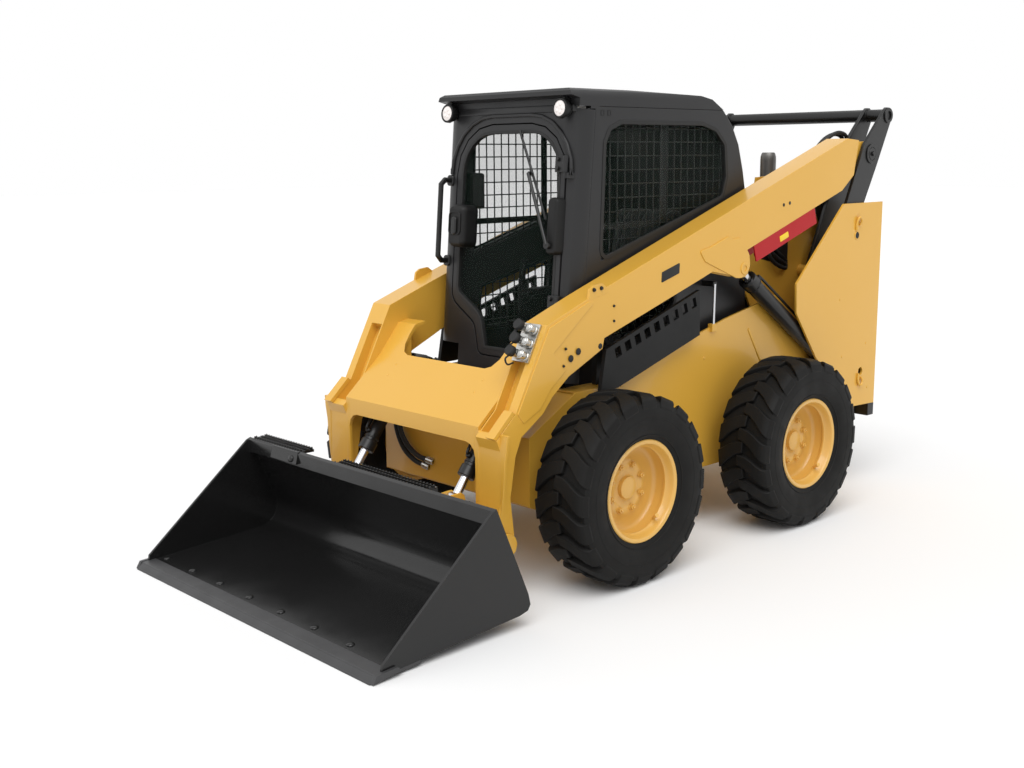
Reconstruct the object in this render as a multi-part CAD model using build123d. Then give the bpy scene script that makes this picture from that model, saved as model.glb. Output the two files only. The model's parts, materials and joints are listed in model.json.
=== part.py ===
from build123d import *
import os
from math import acos, atan2, cos, degrees, pi, radians, sin, tan

# Skid steer loader: a wheeled frame with two rear towers, a hollow cab, a lift-arm frame carried
# by rear links, control links and lift cylinders, and a bucket on a tilting coupler.
# Millimetres. X is forward from the rear axle, Y is to the machine's left, Z is up from the ground.
# Finished pieces are moved along X at the end so that the machine's box is centred on the origin.

# Wheels and axles
WHEELBASE = 1250
TYRE_RADIUS = 417
TYRE_WIDTH = 288
TYRE_FACETS = 24
TREAD_DEPTH = 23
LUGS_PER_ROW = 16
GROOVE_WIDTH = 88
GROOVE_SLANT = 25
RIM_RADIUS = 208
RIM_WALL = 10
RIM_FLANGE_HEIGHT = 17
RIM_FLANGE_WIDTH = 8
RIM_INSET = 22
RIM_FACETS = 16
DISC_DEPTH = 113
DISC_THICKNESS = 12
HUB_RADIUS = 62
HUB_PROUD = 33
SPINDLE_RADIUS = 45
AXLE_RADIUS = 75
AXLE_FLANGE_RADIUS = 115
AXLE_FLANGE_THICKNESS = 15
AXLE_FACETS = 10
RUNNING_GAP = 0.5
SIDE_GAP = 5

# Frame, towers and engine bay
FRAME_HALF_WIDTH = 500
FRAME_PLATE = 12
FRAME_BOTTOM = 300
CASE_WIDTH = 116
DECK_Z = 800
NOSE_TOP = 640
FRAME_REAR_X = -1019
TOWER_OFFSET = 102
TOWER_PLATE = 12
TOWER_TOP = 1500
WEB_TOP = 1330
ENGINE_TOP = 1080

# Lift linkage pins, as (X, Z)
LINK_FOOT = (-600, 1205)
ARM_TAIL = (-928, 1822)
CROSS_TUBE = (-1082, 2027)
CONTROL_FOOT = (-860, 1309)
CONTROL_HEAD = (-680, 1690)
LIFT_FOOT = (-620, 720)
LIFT_HEAD = (199, 1279)
BUCKET_PIN = (1800, 240)
TILT_FOOT = (1560, 807)
TILT_HEAD = (1866, 404)
PIN_FACETS = 10
LINK_PIN_RADIUS = 32
CONTROL_PIN_RADIUS = 25
LIFT_PIN_RADIUS = 22
TILT_PIN_RADIUS = 18
BUCKET_PIN_RADIUS = 30

# Arms, links and cylinders
ARM_WIDTH = 130
ARM_TAIL_SIDE_GAP = 5
LINK_PLATE = 20
LINK_FOOT_RADIUS = 65
LINK_KNEE_RADIUS = 85
LINK_TOP_RADIUS = 45
CROSS_TUBE_RADIUS = 35
CONTROL_WIDTH = 44
CONTROL_EYE_RADIUS = 45
LIFT_BARREL_RADIUS = 42
LIFT_ROD_SHOWS = 112
LIFT_ROD_RADIUS = 25
LIFT_ROD_START = 80
LIFT_EYE_RADIUS = 38
LIFT_EYE_WIDTH = 60
TILT_BARREL_RADIUS = 34
TILT_ROD_SHOWS = 108
TILT_ROD_RADIUS = 20
TILT_ROD_START = 125
TILT_EYE_RADIUS = 30
TILT_EYE_WIDTH = 44
TILT_LUG_WIDTH = 20
TILT_FORK_LENGTH = 44
EAR_PLATE = 12
PIN_END_GAP = 0.5
CROSS_SHEET = 16
APRON_BOTTOM = 652
NOTCH_X = 1609
NOTCH_RADIUS = 70
TROUGH_WIDTH = 76

# Bucket and coupler
BUCKET_HALF_WIDTH = 870
BUCKET_SHEET = 12
BUCKET_EDGE = (2690, 21)
BUCKET_HEEL = (1912, 70)
BUCKET_LIP = (2104, 512)
HEEL_RADIUS = 110
LIP_BAR_HEIGHT = 57
LIP_BAR_DEPTH = 34
STEP_DEPTH = 84
STEP_Y = (-200, 430)
EDGE_TIP_X = 2713
EDGE_THICKNESS = 14
EDGE_OVERLAP = 210
COUPLER_PLATE = 20
COUPLER_LOW = 60
COUPLER_HIGH = 380
COUPLER_EAR = 16

# Cab
CAB_WALL = 30
CAB_CORNER = 85
CAB_REAR_X = -30
CAB_FRONT_X = 1287
CAB_FRONT_Z = 970
CAB_RAKE = 4.88
CAB_SILL_Z = 830
PILLAR_BOTTOM = 941
SILL_HALF_WIDTH = 272
CAB_TOP = 2035
ROOF_FRONT_X = 1247
ROOF_HEIGHT = 75
DOOR_BOTTOM = 908
DOOR_GAP = 6
DOOR_BORDER = 28
DOOR_ARCH_RADIUS = 225
DOOR_HINGE_PROUD = 18
GLASS = 6
SEAL = 0.3
HANDLE_PROUD = 60
HANDLE_RADIUS = 13
LAMP_RADIUS = 43
LAMP_DEPTH = 52
TIE_DOWN = (-876, 640)
TIE_DOWN_RADIUS = 22
FLOOR_Z = 520
SEAT_Z = 860
CUSHION_HEIGHT = 110
SEAT_BACK_HEIGHT = 600
CONSOLE_WIDTH = 104
COVER_THICKNESS = 20
COVER_LOUVRES = 9

# Hood and rear door
HOOD_FRONT_X = -190
HOOD_HEIGHT = 95
HOOD_HINGE = (-150, 1535)
REAR_DOOR_BOTTOM = 485
REAR_DOOR_TOP = 1490
REAR_DOOR_THICKNESS = 30
REAR_DOOR_HINGES = (640, 1330)
LOUVRE_PITCH = 70
LOUVRE_HEIGHT = 28
HOOD_LOUVRES = 5
DOOR_LOUVRES = 9
HINGE_RADIUS = 13
HINGE_PIN_RADIUS = 7
HINGE_LENGTH = 70
EXHAUST = (-800, 17)
EXHAUST_TOP = 1835

# Sizes that follow, from the frame outwards and inwards
FRONT_AXLE_X = WHEELBASE
LEG_FRONT_X = BUCKET_PIN[0] + 24
TYRE_INNER_Y = FRAME_HALF_WIDTH + 104
TYRE_MIDDLE_Y = TYRE_INNER_Y + TYRE_WIDTH / 2
RIM_OUTER_Y = TYRE_INNER_Y + TYRE_WIDTH - RIM_INSET
RIM_INNER_Y = TYRE_INNER_Y + RIM_INSET
DISC_Y = RIM_OUTER_Y - DISC_DEPTH
TOWER_OUTER_Y = FRAME_HALF_WIDTH + TOWER_OFFSET
ARM_OUTER_Y = TOWER_OUTER_Y - 10
ARM_INNER_Y = ARM_OUTER_Y - ARM_WIDTH
LIFT_Y = ARM_OUTER_Y - EAR_PLATE - LIFT_EYE_WIDTH / 2 - 2
CONTROL_OUTER_Y = ARM_INNER_Y - 22
CONTROL_INNER_Y = CONTROL_OUTER_Y - CONTROL_WIDTH
TOWER_INNER_Y = CONTROL_INNER_Y - 2 * TOWER_PLATE
CASE_INNER_Y = FRAME_HALF_WIDTH - CASE_WIDTH
SEAT_HALF_WIDTH = CASE_INNER_Y - CONSOLE_WIDTH - 30
LEG_INNER_Y = ARM_INNER_Y - 22
LEG_OUTER_Y = ARM_OUTER_Y + 43
TILT_Y = ARM_INNER_Y - 110
NOTCH_HALF_WIDTH = TILT_Y - 17
COUPLER_HALF_WIDTH = ARM_OUTER_Y + 28
CAB_HALF_WIDTH = ARM_INNER_Y - 22
DOOR_LEFT_Y = CAB_HALF_WIDTH - 65
DOOR_RIGHT_Y = 105 - CAB_HALF_WIDTH
DOOR_HINGE_Y = CAB_HALF_WIDTH - 48
REAR_WINDOW_HALF = CAB_HALF_WIDTH - 120
HOOD_HALF_WIDTH = TOWER_INNER_Y - 10
HOOD_HINGE_Y = HOOD_HALF_WIDTH - 102
REAR_DOOR_HINGE_Y = TOWER_INNER_Y - 4

# Sizes that follow the cab's height
ROOF_TOP = CAB_TOP + ROOF_HEIGHT
VISOR_BOTTOM = CAB_TOP + 33
DOOR_TOP = CAB_TOP - 67
DOOR_HINGES = (1180, DOOR_TOP - 178)
LAMP_Y = CAB_HALF_WIDTH - 68
LAMP_Z = CAB_TOP - 11
HANDLE_Z = (CAB_TOP - 703, CAB_TOP - 321)
REAR_WINDOW = (CAB_TOP - 745, CAB_TOP - 560)

# The bucket's edge and the links' cross tube set the machine's length
REAR_X = CROSS_TUBE[0] - LINK_TOP_RADIUS
CENTRE_X = (EDGE_TIP_X + REAR_X) / 2


def rounded(points, radii, steps=3):
    """A closed outline with its corners cut to arcs, each drawn as a few straight runs."""
    made = []
    for i, radius in enumerate(radii):
        before, corner, after = (Vector(*points[k % len(points)]) for k in (i - 1, i, i + 1))
        if not radius:
            made.append((corner.X, corner.Y))
            continue
        to_before, to_after = (before - corner).normalized(), (after - corner).normalized()
        half = acos(to_before.dot(to_after)) / 2
        centre = corner + (to_before + to_after).normalized() * (radius / sin(half))
        first = corner + to_before * (radius / tan(half)) - centre
        last = corner + to_after * (radius / tan(half)) - centre
        begin = atan2(first.Y, first.X)
        swing = (atan2(last.Y, last.X) - begin + pi) % (2 * pi) - pi
        for k in range(steps + 1):
            turn = begin + swing * k / steps
            made.append((centre.X + radius * cos(turn), centre.Y + radius * sin(turn)))
    return made


def face_of(points, radius=0):
    """A flat face inside a closed outline, its corners rounded by one radius."""
    outline = rounded(points, [radius] * len(points)) if radius else points
    return make_face(Polyline(*outline, close=True))


def stand_up(sketch, y_low, y_high):
    """Extrude a face drawn in side view (X, Z) across the machine from y_low to y_high."""
    return Pos(0, y_low, 0) * extrude(Plane.XZ * sketch, y_high - y_low, dir=(0, 1, 0))


def plate(points, y_low, y_high, radius=0):
    """A plate cut to a side-view outline."""
    return stand_up(face_of(points, radius), y_low, y_high)


def bent_sheet(points, thickness, y_low, y_high, radius=0):
    """A folded sheet: a side-view centre line given one thickness."""
    line = FilletPolyline(*points, radius=radius) if radius else Polyline(*points)
    return stand_up(trace(line, thickness), y_low, y_high)


def block(x_low, x_high, y_low, y_high, z_low, z_high):
    """A box between two corners."""
    middle = ((x_low + x_high) / 2, (y_low + y_high) / 2, (z_low + z_high) / 2)
    return Pos(*middle) * Box(x_high - x_low, y_high - y_low, z_high - z_low)


def disc(at, radius, start=0):
    """Corner points of a many-sided disc about a point, the first one a share of a facet round."""
    turns = [2 * pi * (i + start) / PIN_FACETS for i in range(PIN_FACETS)]
    return [(at[0] + radius * cos(t), at[1] + radius * sin(t)) for t in turns]


def hole(at, radius):
    """Corner points of the hole for a pin, the middles of its flats a running gap off the pin's corners."""
    return disc(at, (radius + RUNNING_GAP) / cos(pi / PIN_FACETS), 0.5)


def pin(at, radius, y_low, y_high):
    """A pin of flat facets across the machine, its corners on the radius."""
    return plate(disc(at, radius), y_low, y_high)


def bore(at, radius, y_low, y_high):
    """The hole across the machine for a pin of a radius."""
    return plate(hole(at, radius), y_low, y_high)


def bar(radius, z_low, z_high):
    """A bar of flat facets along Z, its corners on the radius."""
    return Pos(0, 0, z_low) * extrude(face_of(disc((0, 0), radius)), z_high - z_low)


def hollow(radius, z_low, z_high):
    """The hole along Z for a bar of a radius."""
    return Pos(0, 0, z_low) * extrude(face_of(hole((0, 0), radius)), z_high - z_low)


def hull(points):
    """The convex outline round a set of points."""
    ordered = sorted(set(points))
    chains = []
    for run in (ordered, ordered[::-1]):
        chain = []
        for point in run:
            while len(chain) > 1 and left_turn(chain[-2], chain[-1], point) <= 0:
                chain.pop()
            chain.append(point)
        chains += chain[:-1]
    return chains


def left_turn(first, middle, last):
    """Twice the area of three points' triangle, above zero for a turn to the left."""
    return (middle[0] - first[0]) * (last[1] - first[1]) - (middle[1] - first[1]) * (last[0] - first[0])


def strap(y_low, y_high, *rounds):
    """A link plate wrapped round discs, each given as (point, radius)."""
    corners = [point for at, radius in rounds for point in disc(at, radius)]
    return plate(hull(corners), y_low, y_high)


def turned(section, facets):
    """A solid of flat facets about the Y axis, from a closed section of (radius, Y)."""
    rows = []
    for i in range(facets):
        turn = 2 * pi * i / facets - pi / 2
        rows.append([Vector(r * cos(turn), y, r * sin(turn)) for r, y in section])
    faces = []
    for i, near in enumerate(rows):
        far = rows[(i + 1) % facets]
        for j, corner in enumerate(near):
            k = (j + 1) % len(section)
            ring = [corner, near[k]]
            if section[k][0]:
                ring.append(far[k])
            if section[j][0]:
                ring.append(far[j])
            if len(ring) > 2:
                faces.append(Face(Wire.make_polygon(ring, close=True)))
    return Solid(Shell(faces))


def mirrored(shape):
    """The same piece on the machine's other side."""
    return mirror(shape, about=Plane.XZ)


def pair(shape):
    """A left piece and its mirror image, as two solids."""
    return shape + mirrored(shape)


def along(start, end, distance, offset=0):
    """A point at a distance from start towards end, moved to the left of that line."""
    turn = atan2(end[1] - start[1], end[0] - start[0])
    return (
        start[0] + distance * cos(turn) - offset * sin(turn),
        start[1] + distance * sin(turn) + offset * cos(turn),
    )


def cylinder_frame(foot, head, y):
    """A place at the foot pin whose Z axis runs along the cylinder and whose X axis is the pin."""
    turn = degrees(atan2(head[1] - foot[1], head[0] - foot[0]))
    return Pos(foot[0], y, foot[1]) * Rot(0, 90 - turn, 0) * Rot(0, 0, 90)


def reach(foot, head):
    """Pin-to-pin length of a cylinder at rest."""
    return ((head[0] - foot[0]) ** 2 + (head[1] - foot[1]) ** 2) ** 0.5


def make_tyre(axle_x):
    """Tyre of the left wheel: a bulged casing with slanted grooves cut between two rows of lugs."""
    bead = (RIM_RADIUS + RUNNING_GAP) / cos(pi / TYRE_FACETS)
    lip = RIM_RADIUS + RIM_FLANGE_HEIGHT
    seat = RIM_INSET + RIM_FLANGE_WIDTH + RUNNING_GAP
    half = [
        (bead, seat),
        (lip + 4, seat),
        (lip + 10, RIM_INSET - 2),
        (lip + 70, 0),
        (TYRE_RADIUS - 68, 1),
        (TYRE_RADIUS - 24, 16),
        (TYRE_RADIUS, 46),
    ]
    side = TYRE_WIDTH / 2
    section = [(r, y - side) for r, y in half] + [(r, side - y) for r, y in reversed(half)]
    tyre = turned(section, TYRE_FACETS)
    floor = TYRE_RADIUS - TREAD_DEPTH
    grooves = []
    for row in (-1, 1):
        groove = block(-GROOVE_WIDTH / 2, GROOVE_WIDTH / 2, -side / 2 + 6, side, floor, TYRE_RADIUS + 40)
        groove = Pos(0, side / 2, 0) * Rot(0, 0, -GROOVE_SLANT) * groove
        groove = groove if row > 0 else mirrored(groove)
        for i in range(LUGS_PER_ROW):
            turn = 360 * (i + (0.5 if row > 0 else 0)) / LUGS_PER_ROW
            grooves.append(Rot(0, 180 + turn, 0) * groove)
    return Pos(axle_x, TYRE_MIDDLE_Y, TYRE_RADIUS) * (tyre - grooves)


def make_rim(axle_x):
    """Deep-dish rim of the left wheel, with its blind hub."""
    bore_radius = (SPINDLE_RADIUS + RUNNING_GAP) / cos(pi / RIM_FACETS)
    inside = RIM_RADIUS - RIM_WALL
    flange = RIM_RADIUS + RIM_FLANGE_HEIGHT
    disc_back = DISC_Y - DISC_THICKNESS
    hub_end = DISC_Y + HUB_PROUD
    section = [
        (0, hub_end),
        (HUB_RADIUS, hub_end),
        (HUB_RADIUS, DISC_Y),
        (inside, DISC_Y),
        (inside, RIM_OUTER_Y),
        (flange, RIM_OUTER_Y),
        (flange, RIM_OUTER_Y - RIM_FLANGE_WIDTH),
        (RIM_RADIUS, RIM_OUTER_Y - RIM_FLANGE_WIDTH),
        (RIM_RADIUS, RIM_INNER_Y + RIM_FLANGE_WIDTH),
        (flange, RIM_INNER_Y + RIM_FLANGE_WIDTH),
        (flange, RIM_INNER_Y),
        (inside, RIM_INNER_Y),
        (inside, disc_back),
        (bore_radius, disc_back),
        (bore_radius, hub_end - DISC_THICKNESS),
        (0, hub_end - DISC_THICKNESS),
    ]
    return Pos(axle_x, 0, TYRE_RADIUS) * turned(section, RIM_FACETS)


def make_axle(axle_x):
    """Axle housing and spindle of the left wheel, bolted to the frame's side."""
    housing_end = DISC_Y - DISC_THICKNESS - SIDE_GAP
    spindle_end = DISC_Y + HUB_PROUD - DISC_THICKNESS - RUNNING_GAP
    section = [
        (0, FRAME_HALF_WIDTH),
        (AXLE_FLANGE_RADIUS, FRAME_HALF_WIDTH),
        (AXLE_FLANGE_RADIUS, FRAME_HALF_WIDTH + AXLE_FLANGE_THICKNESS),
        (AXLE_RADIUS, FRAME_HALF_WIDTH + AXLE_FLANGE_THICKNESS),
        (AXLE_RADIUS, housing_end),
        (SPINDLE_RADIUS, housing_end),
        (SPINDLE_RADIUS, spindle_end),
        (0, spindle_end),
    ]
    return Pos(axle_x, 0, TYRE_RADIUS) * turned(section, AXLE_FACETS)


def make_frame():
    """Welded lower frame: side plates, chain cases, belly and front step."""
    inner = FRAME_HALF_WIDTH - FRAME_PLATE
    side = [
        (FRAME_REAR_X, FRAME_BOTTOM + 60),
        (FRAME_REAR_X + 120, FRAME_BOTTOM),
        (FRONT_AXLE_X + 240, FRAME_BOTTOM),
        (FRONT_AXLE_X + 318, FRAME_BOTTOM + 36),
        (FRONT_AXLE_X + 318, NOSE_TOP),
        (FRONT_AXLE_X + 30, DECK_Z),
        (FRONT_AXLE_X - 178, DECK_Z + 1),
        (488, 955),
        (215, 1025),
        (-227, 1110),
        (LIFT_FOOT[0] - 100, LIFT_FOOT[1] + 80),
        (FRAME_REAR_X, LIFT_FOOT[1] + 40),
    ]
    frame = plate(side, inner, FRAME_HALF_WIDTH)
    frame += mirrored(frame)
    case_front = FRONT_AXLE_X + 30
    case = block(-200, case_front, CASE_INNER_Y, CASE_INNER_Y + FRAME_PLATE, FRAME_BOTTOM, DECK_Z)
    case += block(-200, case_front, CASE_INNER_Y, inner, DECK_Z - FRAME_PLATE, DECK_Z)
    frame += [case, mirrored(case)]
    belly_rear = FRAME_REAR_X + 120
    frame += block(belly_rear, FRONT_AXLE_X + 240, -inner, inner, FRAME_BOTTOM, FRAME_BOTTOM + FRAME_PLATE)
    step = [
        (FRONT_AXLE_X + 230, FRAME_BOTTOM + FRAME_PLATE / 2),
        (FRONT_AXLE_X + 312, FRAME_BOTTOM + 42),
        (FRONT_AXLE_X + 312, NOSE_TOP - 5),
        (FRONT_AXLE_X + 40, DECK_Z - 14),
    ]
    frame += bent_sheet(step, FRAME_PLATE, -inner, inner)
    rear = FRAME_REAR_X + FRAME_PLATE
    frame += block(FRAME_REAR_X, rear, -inner, inner, FRAME_BOTTOM + 60, REAR_DOOR_BOTTOM - 20)
    return frame


def make_tower():
    """Left tower: outer panel, inner plate, rear web and the link, control and cylinder pins."""
    outer = TOWER_OUTER_Y + TOWER_PLATE
    inner = TOWER_INNER_Y + TOWER_PLATE
    web_x = FRAME_REAR_X - TOWER_PLATE
    panel = [
        (-644, 1563),
        (web_x, 1565),
        (web_x, 443),
        (-805, 451),
        (-431, 767),
        (-235, 1021),
        (-227, 1171),
    ]
    liner = [
        (FRAME_REAR_X, 560),
        (FRAME_REAR_X, TOWER_TOP),
        (-480, TOWER_TOP),
        (-440, TOWER_TOP + 220),
        (-180, TOWER_TOP + 208),
        (-140, TOWER_TOP),
        (-60, TOWER_TOP),
        (-60, 1200),
        (-240, 900),
        (-500, 560),
    ]
    tower = plate(panel, TOWER_OUTER_Y, outer)
    tower += plate(liner, TOWER_INNER_Y, inner)
    tower += block(web_x, FRAME_REAR_X, TOWER_INNER_Y, outer, 443, WEB_TOP)
    tower += block(FRAME_REAR_X, -500, inner, FRAME_HALF_WIDTH - FRAME_PLATE, 560, 560 + TOWER_PLATE)
    arch = [(FRAME_REAR_X - 1, 463), (-806, 471), (-500, 727)]
    tower += bent_sheet(arch, TOWER_PLATE, FRAME_HALF_WIDTH, TOWER_OUTER_Y + 2)
    middle = TOWER_OUTER_Y + TOWER_PLATE / 2
    eye = Rot(90, 0, 0) * Cylinder(TIE_DOWN_RADIUS, 2 * TOWER_PLATE)
    tower -= Pos(TIE_DOWN[0], middle, TIE_DOWN[1]) * eye
    tower += pin(LINK_FOOT, LINK_PIN_RADIUS, TOWER_INNER_Y, outer)
    tower += pin(CONTROL_FOOT, CONTROL_PIN_RADIUS, TOWER_INNER_Y, CONTROL_OUTER_Y + SIDE_GAP)
    tower += pin(LIFT_FOOT, LIFT_PIN_RADIUS, FRAME_HALF_WIDTH, outer)
    return tower


def make_rear_links():
    """Two forked rear links joined by the cross tube above the engine bay."""
    links = pin(CROSS_TUBE, CROSS_TUBE_RADIUS, -ARM_OUTER_Y, ARM_OUTER_Y)
    inner_y = ARM_INNER_Y - 10
    sheets = [(inner_y, inner_y + LINK_PLATE), (ARM_OUTER_Y - LINK_PLATE, ARM_OUTER_Y)]
    for y_low, y_high in sheets:
        leg = strap(y_low, y_high, (LINK_FOOT, LINK_FOOT_RADIUS), (ARM_TAIL, LINK_KNEE_RADIUS))
        leg += strap(y_low, y_high, (ARM_TAIL, LINK_KNEE_RADIUS), (CROSS_TUBE, LINK_TOP_RADIUS))
        leg -= bore(LINK_FOOT, LINK_PIN_RADIUS, y_low - 1, y_high + 1)
        links += [leg, mirrored(leg)]
    tail = pin(ARM_TAIL, LINK_PIN_RADIUS, inner_y, ARM_OUTER_Y)
    links += [tail, mirrored(tail)]
    return links


def make_arm():
    """Left lift arm: tail, box beam, slim knee and leg, with a hose trough and the rod ears."""
    beam = [
        (-690, 1902),
        (1300, 1225),
        (1552, 1133),
        (1734, 784),
        (1841, 688),
        (LEG_FRONT_X - 4, 640),
        (LEG_FRONT_X, 420),
        (BUCKET_PIN[0] + 58, BUCKET_PIN[1]),
        (BUCKET_PIN[0] + 30, BUCKET_PIN[1] - 50),
        (BUCKET_PIN[0] - 30, BUCKET_PIN[1] - 50),
        (BUCKET_PIN[0] - 58, BUCKET_PIN[1]),
        (1766, 433),
        (1736, 603),
        (1701, 681),
        (1575, 762),
        (1516, 829),
        (1420, 901),
        (1285, 962),
        (1210, 997),
        (1198, 1042),
        (535, 1249),
        (-655, 1632),
        (-762, 1711),
        (-800, 1894),
    ]
    arm = plate(beam, ARM_INNER_Y, ARM_OUTER_Y)
    trough = [(1620, 1060), (1760, 790), (1842, 716), (1765, 695), (1690, 760), (1560, 1020)]
    arm -= plate(trough, ARM_INNER_Y + 8, ARM_INNER_Y + 8 + TROUGH_WIDTH)
    tail_low = ARM_INNER_Y - 10 + LINK_PLATE + ARM_TAIL_SIDE_GAP
    tail_high = ARM_OUTER_Y - LINK_PLATE - ARM_TAIL_SIDE_GAP
    arm += strap(tail_low, tail_high, (ARM_TAIL, 70), ((-735, 1800), 80))
    arm -= bore(ARM_TAIL, LINK_PIN_RADIUS, tail_low - 1, tail_high + 1)
    ear_inner = LIFT_Y - LIFT_EYE_WIDTH / 2 - EAR_PLATE - 2
    for y_low in (ear_inner, ARM_OUTER_Y - EAR_PLATE):
        arm += strap(y_low, y_low + EAR_PLATE, (LIFT_HEAD, 46), ((205, 1400), 20), ((500, 1310), 20))
    front_x = LEG_FRONT_X - CROSS_SHEET
    arm += block(front_x, LEG_FRONT_X, LEG_INNER_Y, ARM_INNER_Y, 350, 712)
    flare = [
        (ARM_OUTER_Y, 712),
        (LEG_OUTER_Y, 712),
        (LEG_OUTER_Y - 4, 660),
        (LEG_OUTER_Y - 16, 600),
        (LEG_OUTER_Y - 24, 480),
        (ARM_OUTER_Y, 350),
    ]
    arm += front_sheet(flare, front_x, LEG_FRONT_X)
    arm -= bore(BUCKET_PIN, BUCKET_PIN_RADIUS, ARM_INNER_Y - 1, ARM_OUTER_Y + 1)
    return arm


def make_crossmember():
    """Folded plate between the arms, notched for the door, with the tilt cylinders' lugs."""
    middle_x = LEG_FRONT_X - CROSS_SHEET / 2
    fold = [(middle_x, APRON_BOTTOM), (middle_x, 722), (1620, 895), (1498, 1040), (1440, 1050)]
    member = bent_sheet(fold, CROSS_SHEET, -ARM_INNER_Y, ARM_INNER_Y)
    corner = [
        (LEG_INNER_Y, APRON_BOTTOM + 8),
        (LEG_INNER_Y, APRON_BOTTOM - 60),
        (LEG_INNER_Y - 8, APRON_BOTTOM - 30),
        (LEG_INNER_Y - 30, APRON_BOTTOM - 8),
        (LEG_INNER_Y - 60, APRON_BOTTOM),
    ]
    gusset = front_sheet(corner, LEG_FRONT_X - CROSS_SHEET, LEG_FRONT_X)
    member += [gusset, mirrored(gusset)]
    member -= block(LEG_FRONT_X - 40, LEG_FRONT_X + 1, -ARM_INNER_Y - 1, -LEG_INNER_Y, 300, 712)
    member -= block(LEG_FRONT_X - 40, LEG_FRONT_X + 1, LEG_INNER_Y, ARM_INNER_Y + 1, 300, 712)
    notch = [
        (NOTCH_X, NOTCH_HALF_WIDTH),
        (1300, NOTCH_HALF_WIDTH),
        (1300, -NOTCH_HALF_WIDTH),
        (NOTCH_X, -NOTCH_HALF_WIDTH),
    ]
    outline = rounded(notch, [NOTCH_RADIUS, 0, 0, NOTCH_RADIUS])
    member -= Pos(0, 0, DECK_Z) * extrude(face_of(outline), 400)
    lug_low = TILT_Y - TILT_LUG_WIDTH / 2
    lug = strap(lug_low, lug_low + TILT_LUG_WIDTH, (TILT_FOOT, 34), ((1612, 893), 8), ((1530, 990), 8))
    lug += pin(TILT_FOOT, TILT_PIN_RADIUS, TILT_Y - TILT_EYE_WIDTH / 2 - 8, TILT_Y + TILT_EYE_WIDTH / 2 + 8)
    return member + [lug, mirrored(lug)]


def make_control_link():
    """Left control link: its head pin ends just short of the arm, the linkage's open pivot."""
    link = strap(CONTROL_INNER_Y, CONTROL_OUTER_Y, (CONTROL_FOOT, CONTROL_EYE_RADIUS),
                 (CONTROL_HEAD, CONTROL_EYE_RADIUS))
    link -= bore(CONTROL_FOOT, CONTROL_PIN_RADIUS, CONTROL_INNER_Y - 1, CONTROL_OUTER_Y + 1)
    link += pin(CONTROL_HEAD, CONTROL_PIN_RADIUS, CONTROL_OUTER_Y - 10, ARM_INNER_Y - PIN_END_GAP)
    return link


def across(shape):
    """Turn a piece drawn along Z, about its middle, to lie along the cylinder's pin."""
    return Rot(0, 90, 0) * shape


def make_lift_barrel():
    """Left lift cylinder's barrel, eye on the tower's pin."""
    place = cylinder_frame(LIFT_FOOT, LIFT_HEAD, LIFT_Y)
    length = reach(LIFT_FOOT, LIFT_HEAD) - LIFT_ROD_SHOWS
    half = LIFT_EYE_WIDTH / 2
    barrel = bar(LIFT_BARREL_RADIUS, 0, length)
    barrel += across(bar(LIFT_BARREL_RADIUS, -half, half))
    barrel -= across(hollow(LIFT_PIN_RADIUS, -2 * half, 2 * half))
    return place * (barrel - hollow(LIFT_ROD_RADIUS, LIFT_ROD_START - 20, length + 1))


def make_lift_rod():
    """Left lift cylinder's rod; its eye's pin ends just short of the arm's ears."""
    place = cylinder_frame(LIFT_FOOT, LIFT_HEAD, LIFT_Y)
    length = reach(LIFT_FOOT, LIFT_HEAD)
    half = LIFT_EYE_WIDTH / 2
    rod = bar(LIFT_ROD_RADIUS, LIFT_ROD_START, length)
    return place * (rod + Pos(0, 0, length) * across(bar(LIFT_EYE_RADIUS, -half, half)))


def make_tilt_barrel():
    """Left tilt cylinder's barrel, forked over the lug on the crossmember."""
    place = cylinder_frame(TILT_FOOT, TILT_HEAD, TILT_Y)
    length = reach(TILT_FOOT, TILT_HEAD) - TILT_ROD_SHOWS
    barrel = bar(TILT_BARREL_RADIUS, TILT_FORK_LENGTH, length)
    near = TILT_LUG_WIDTH / 2 + 1
    far = TILT_EYE_WIDTH / 2 + 7
    for low, high in ((-far, -near), (near, far)):
        ear = across(bar(26, low, high))
        ear += block(low, high, -20, 20, 0, TILT_FORK_LENGTH + 10)
        barrel += ear - across(hollow(TILT_PIN_RADIUS, low - 1, high + 1))
    return place * (barrel - hollow(TILT_ROD_RADIUS, TILT_ROD_START - 72, length + 1))


def make_tilt_rod():
    """Left tilt cylinder's rod; its eye ends just short of the coupler's ears."""
    place = cylinder_frame(TILT_FOOT, TILT_HEAD, TILT_Y)
    length = reach(TILT_FOOT, TILT_HEAD)
    half = TILT_EYE_WIDTH / 2
    rod = bar(TILT_ROD_RADIUS, TILT_ROD_START, length)
    return place * (rod + Pos(0, 0, length) * across(bar(TILT_EYE_RADIUS, -half, half)))


def back_point(distance, behind):
    """A point behind the bucket's back, measured up from the heel."""
    return along(BUCKET_HEEL, BUCKET_LIP, distance, behind)


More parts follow.
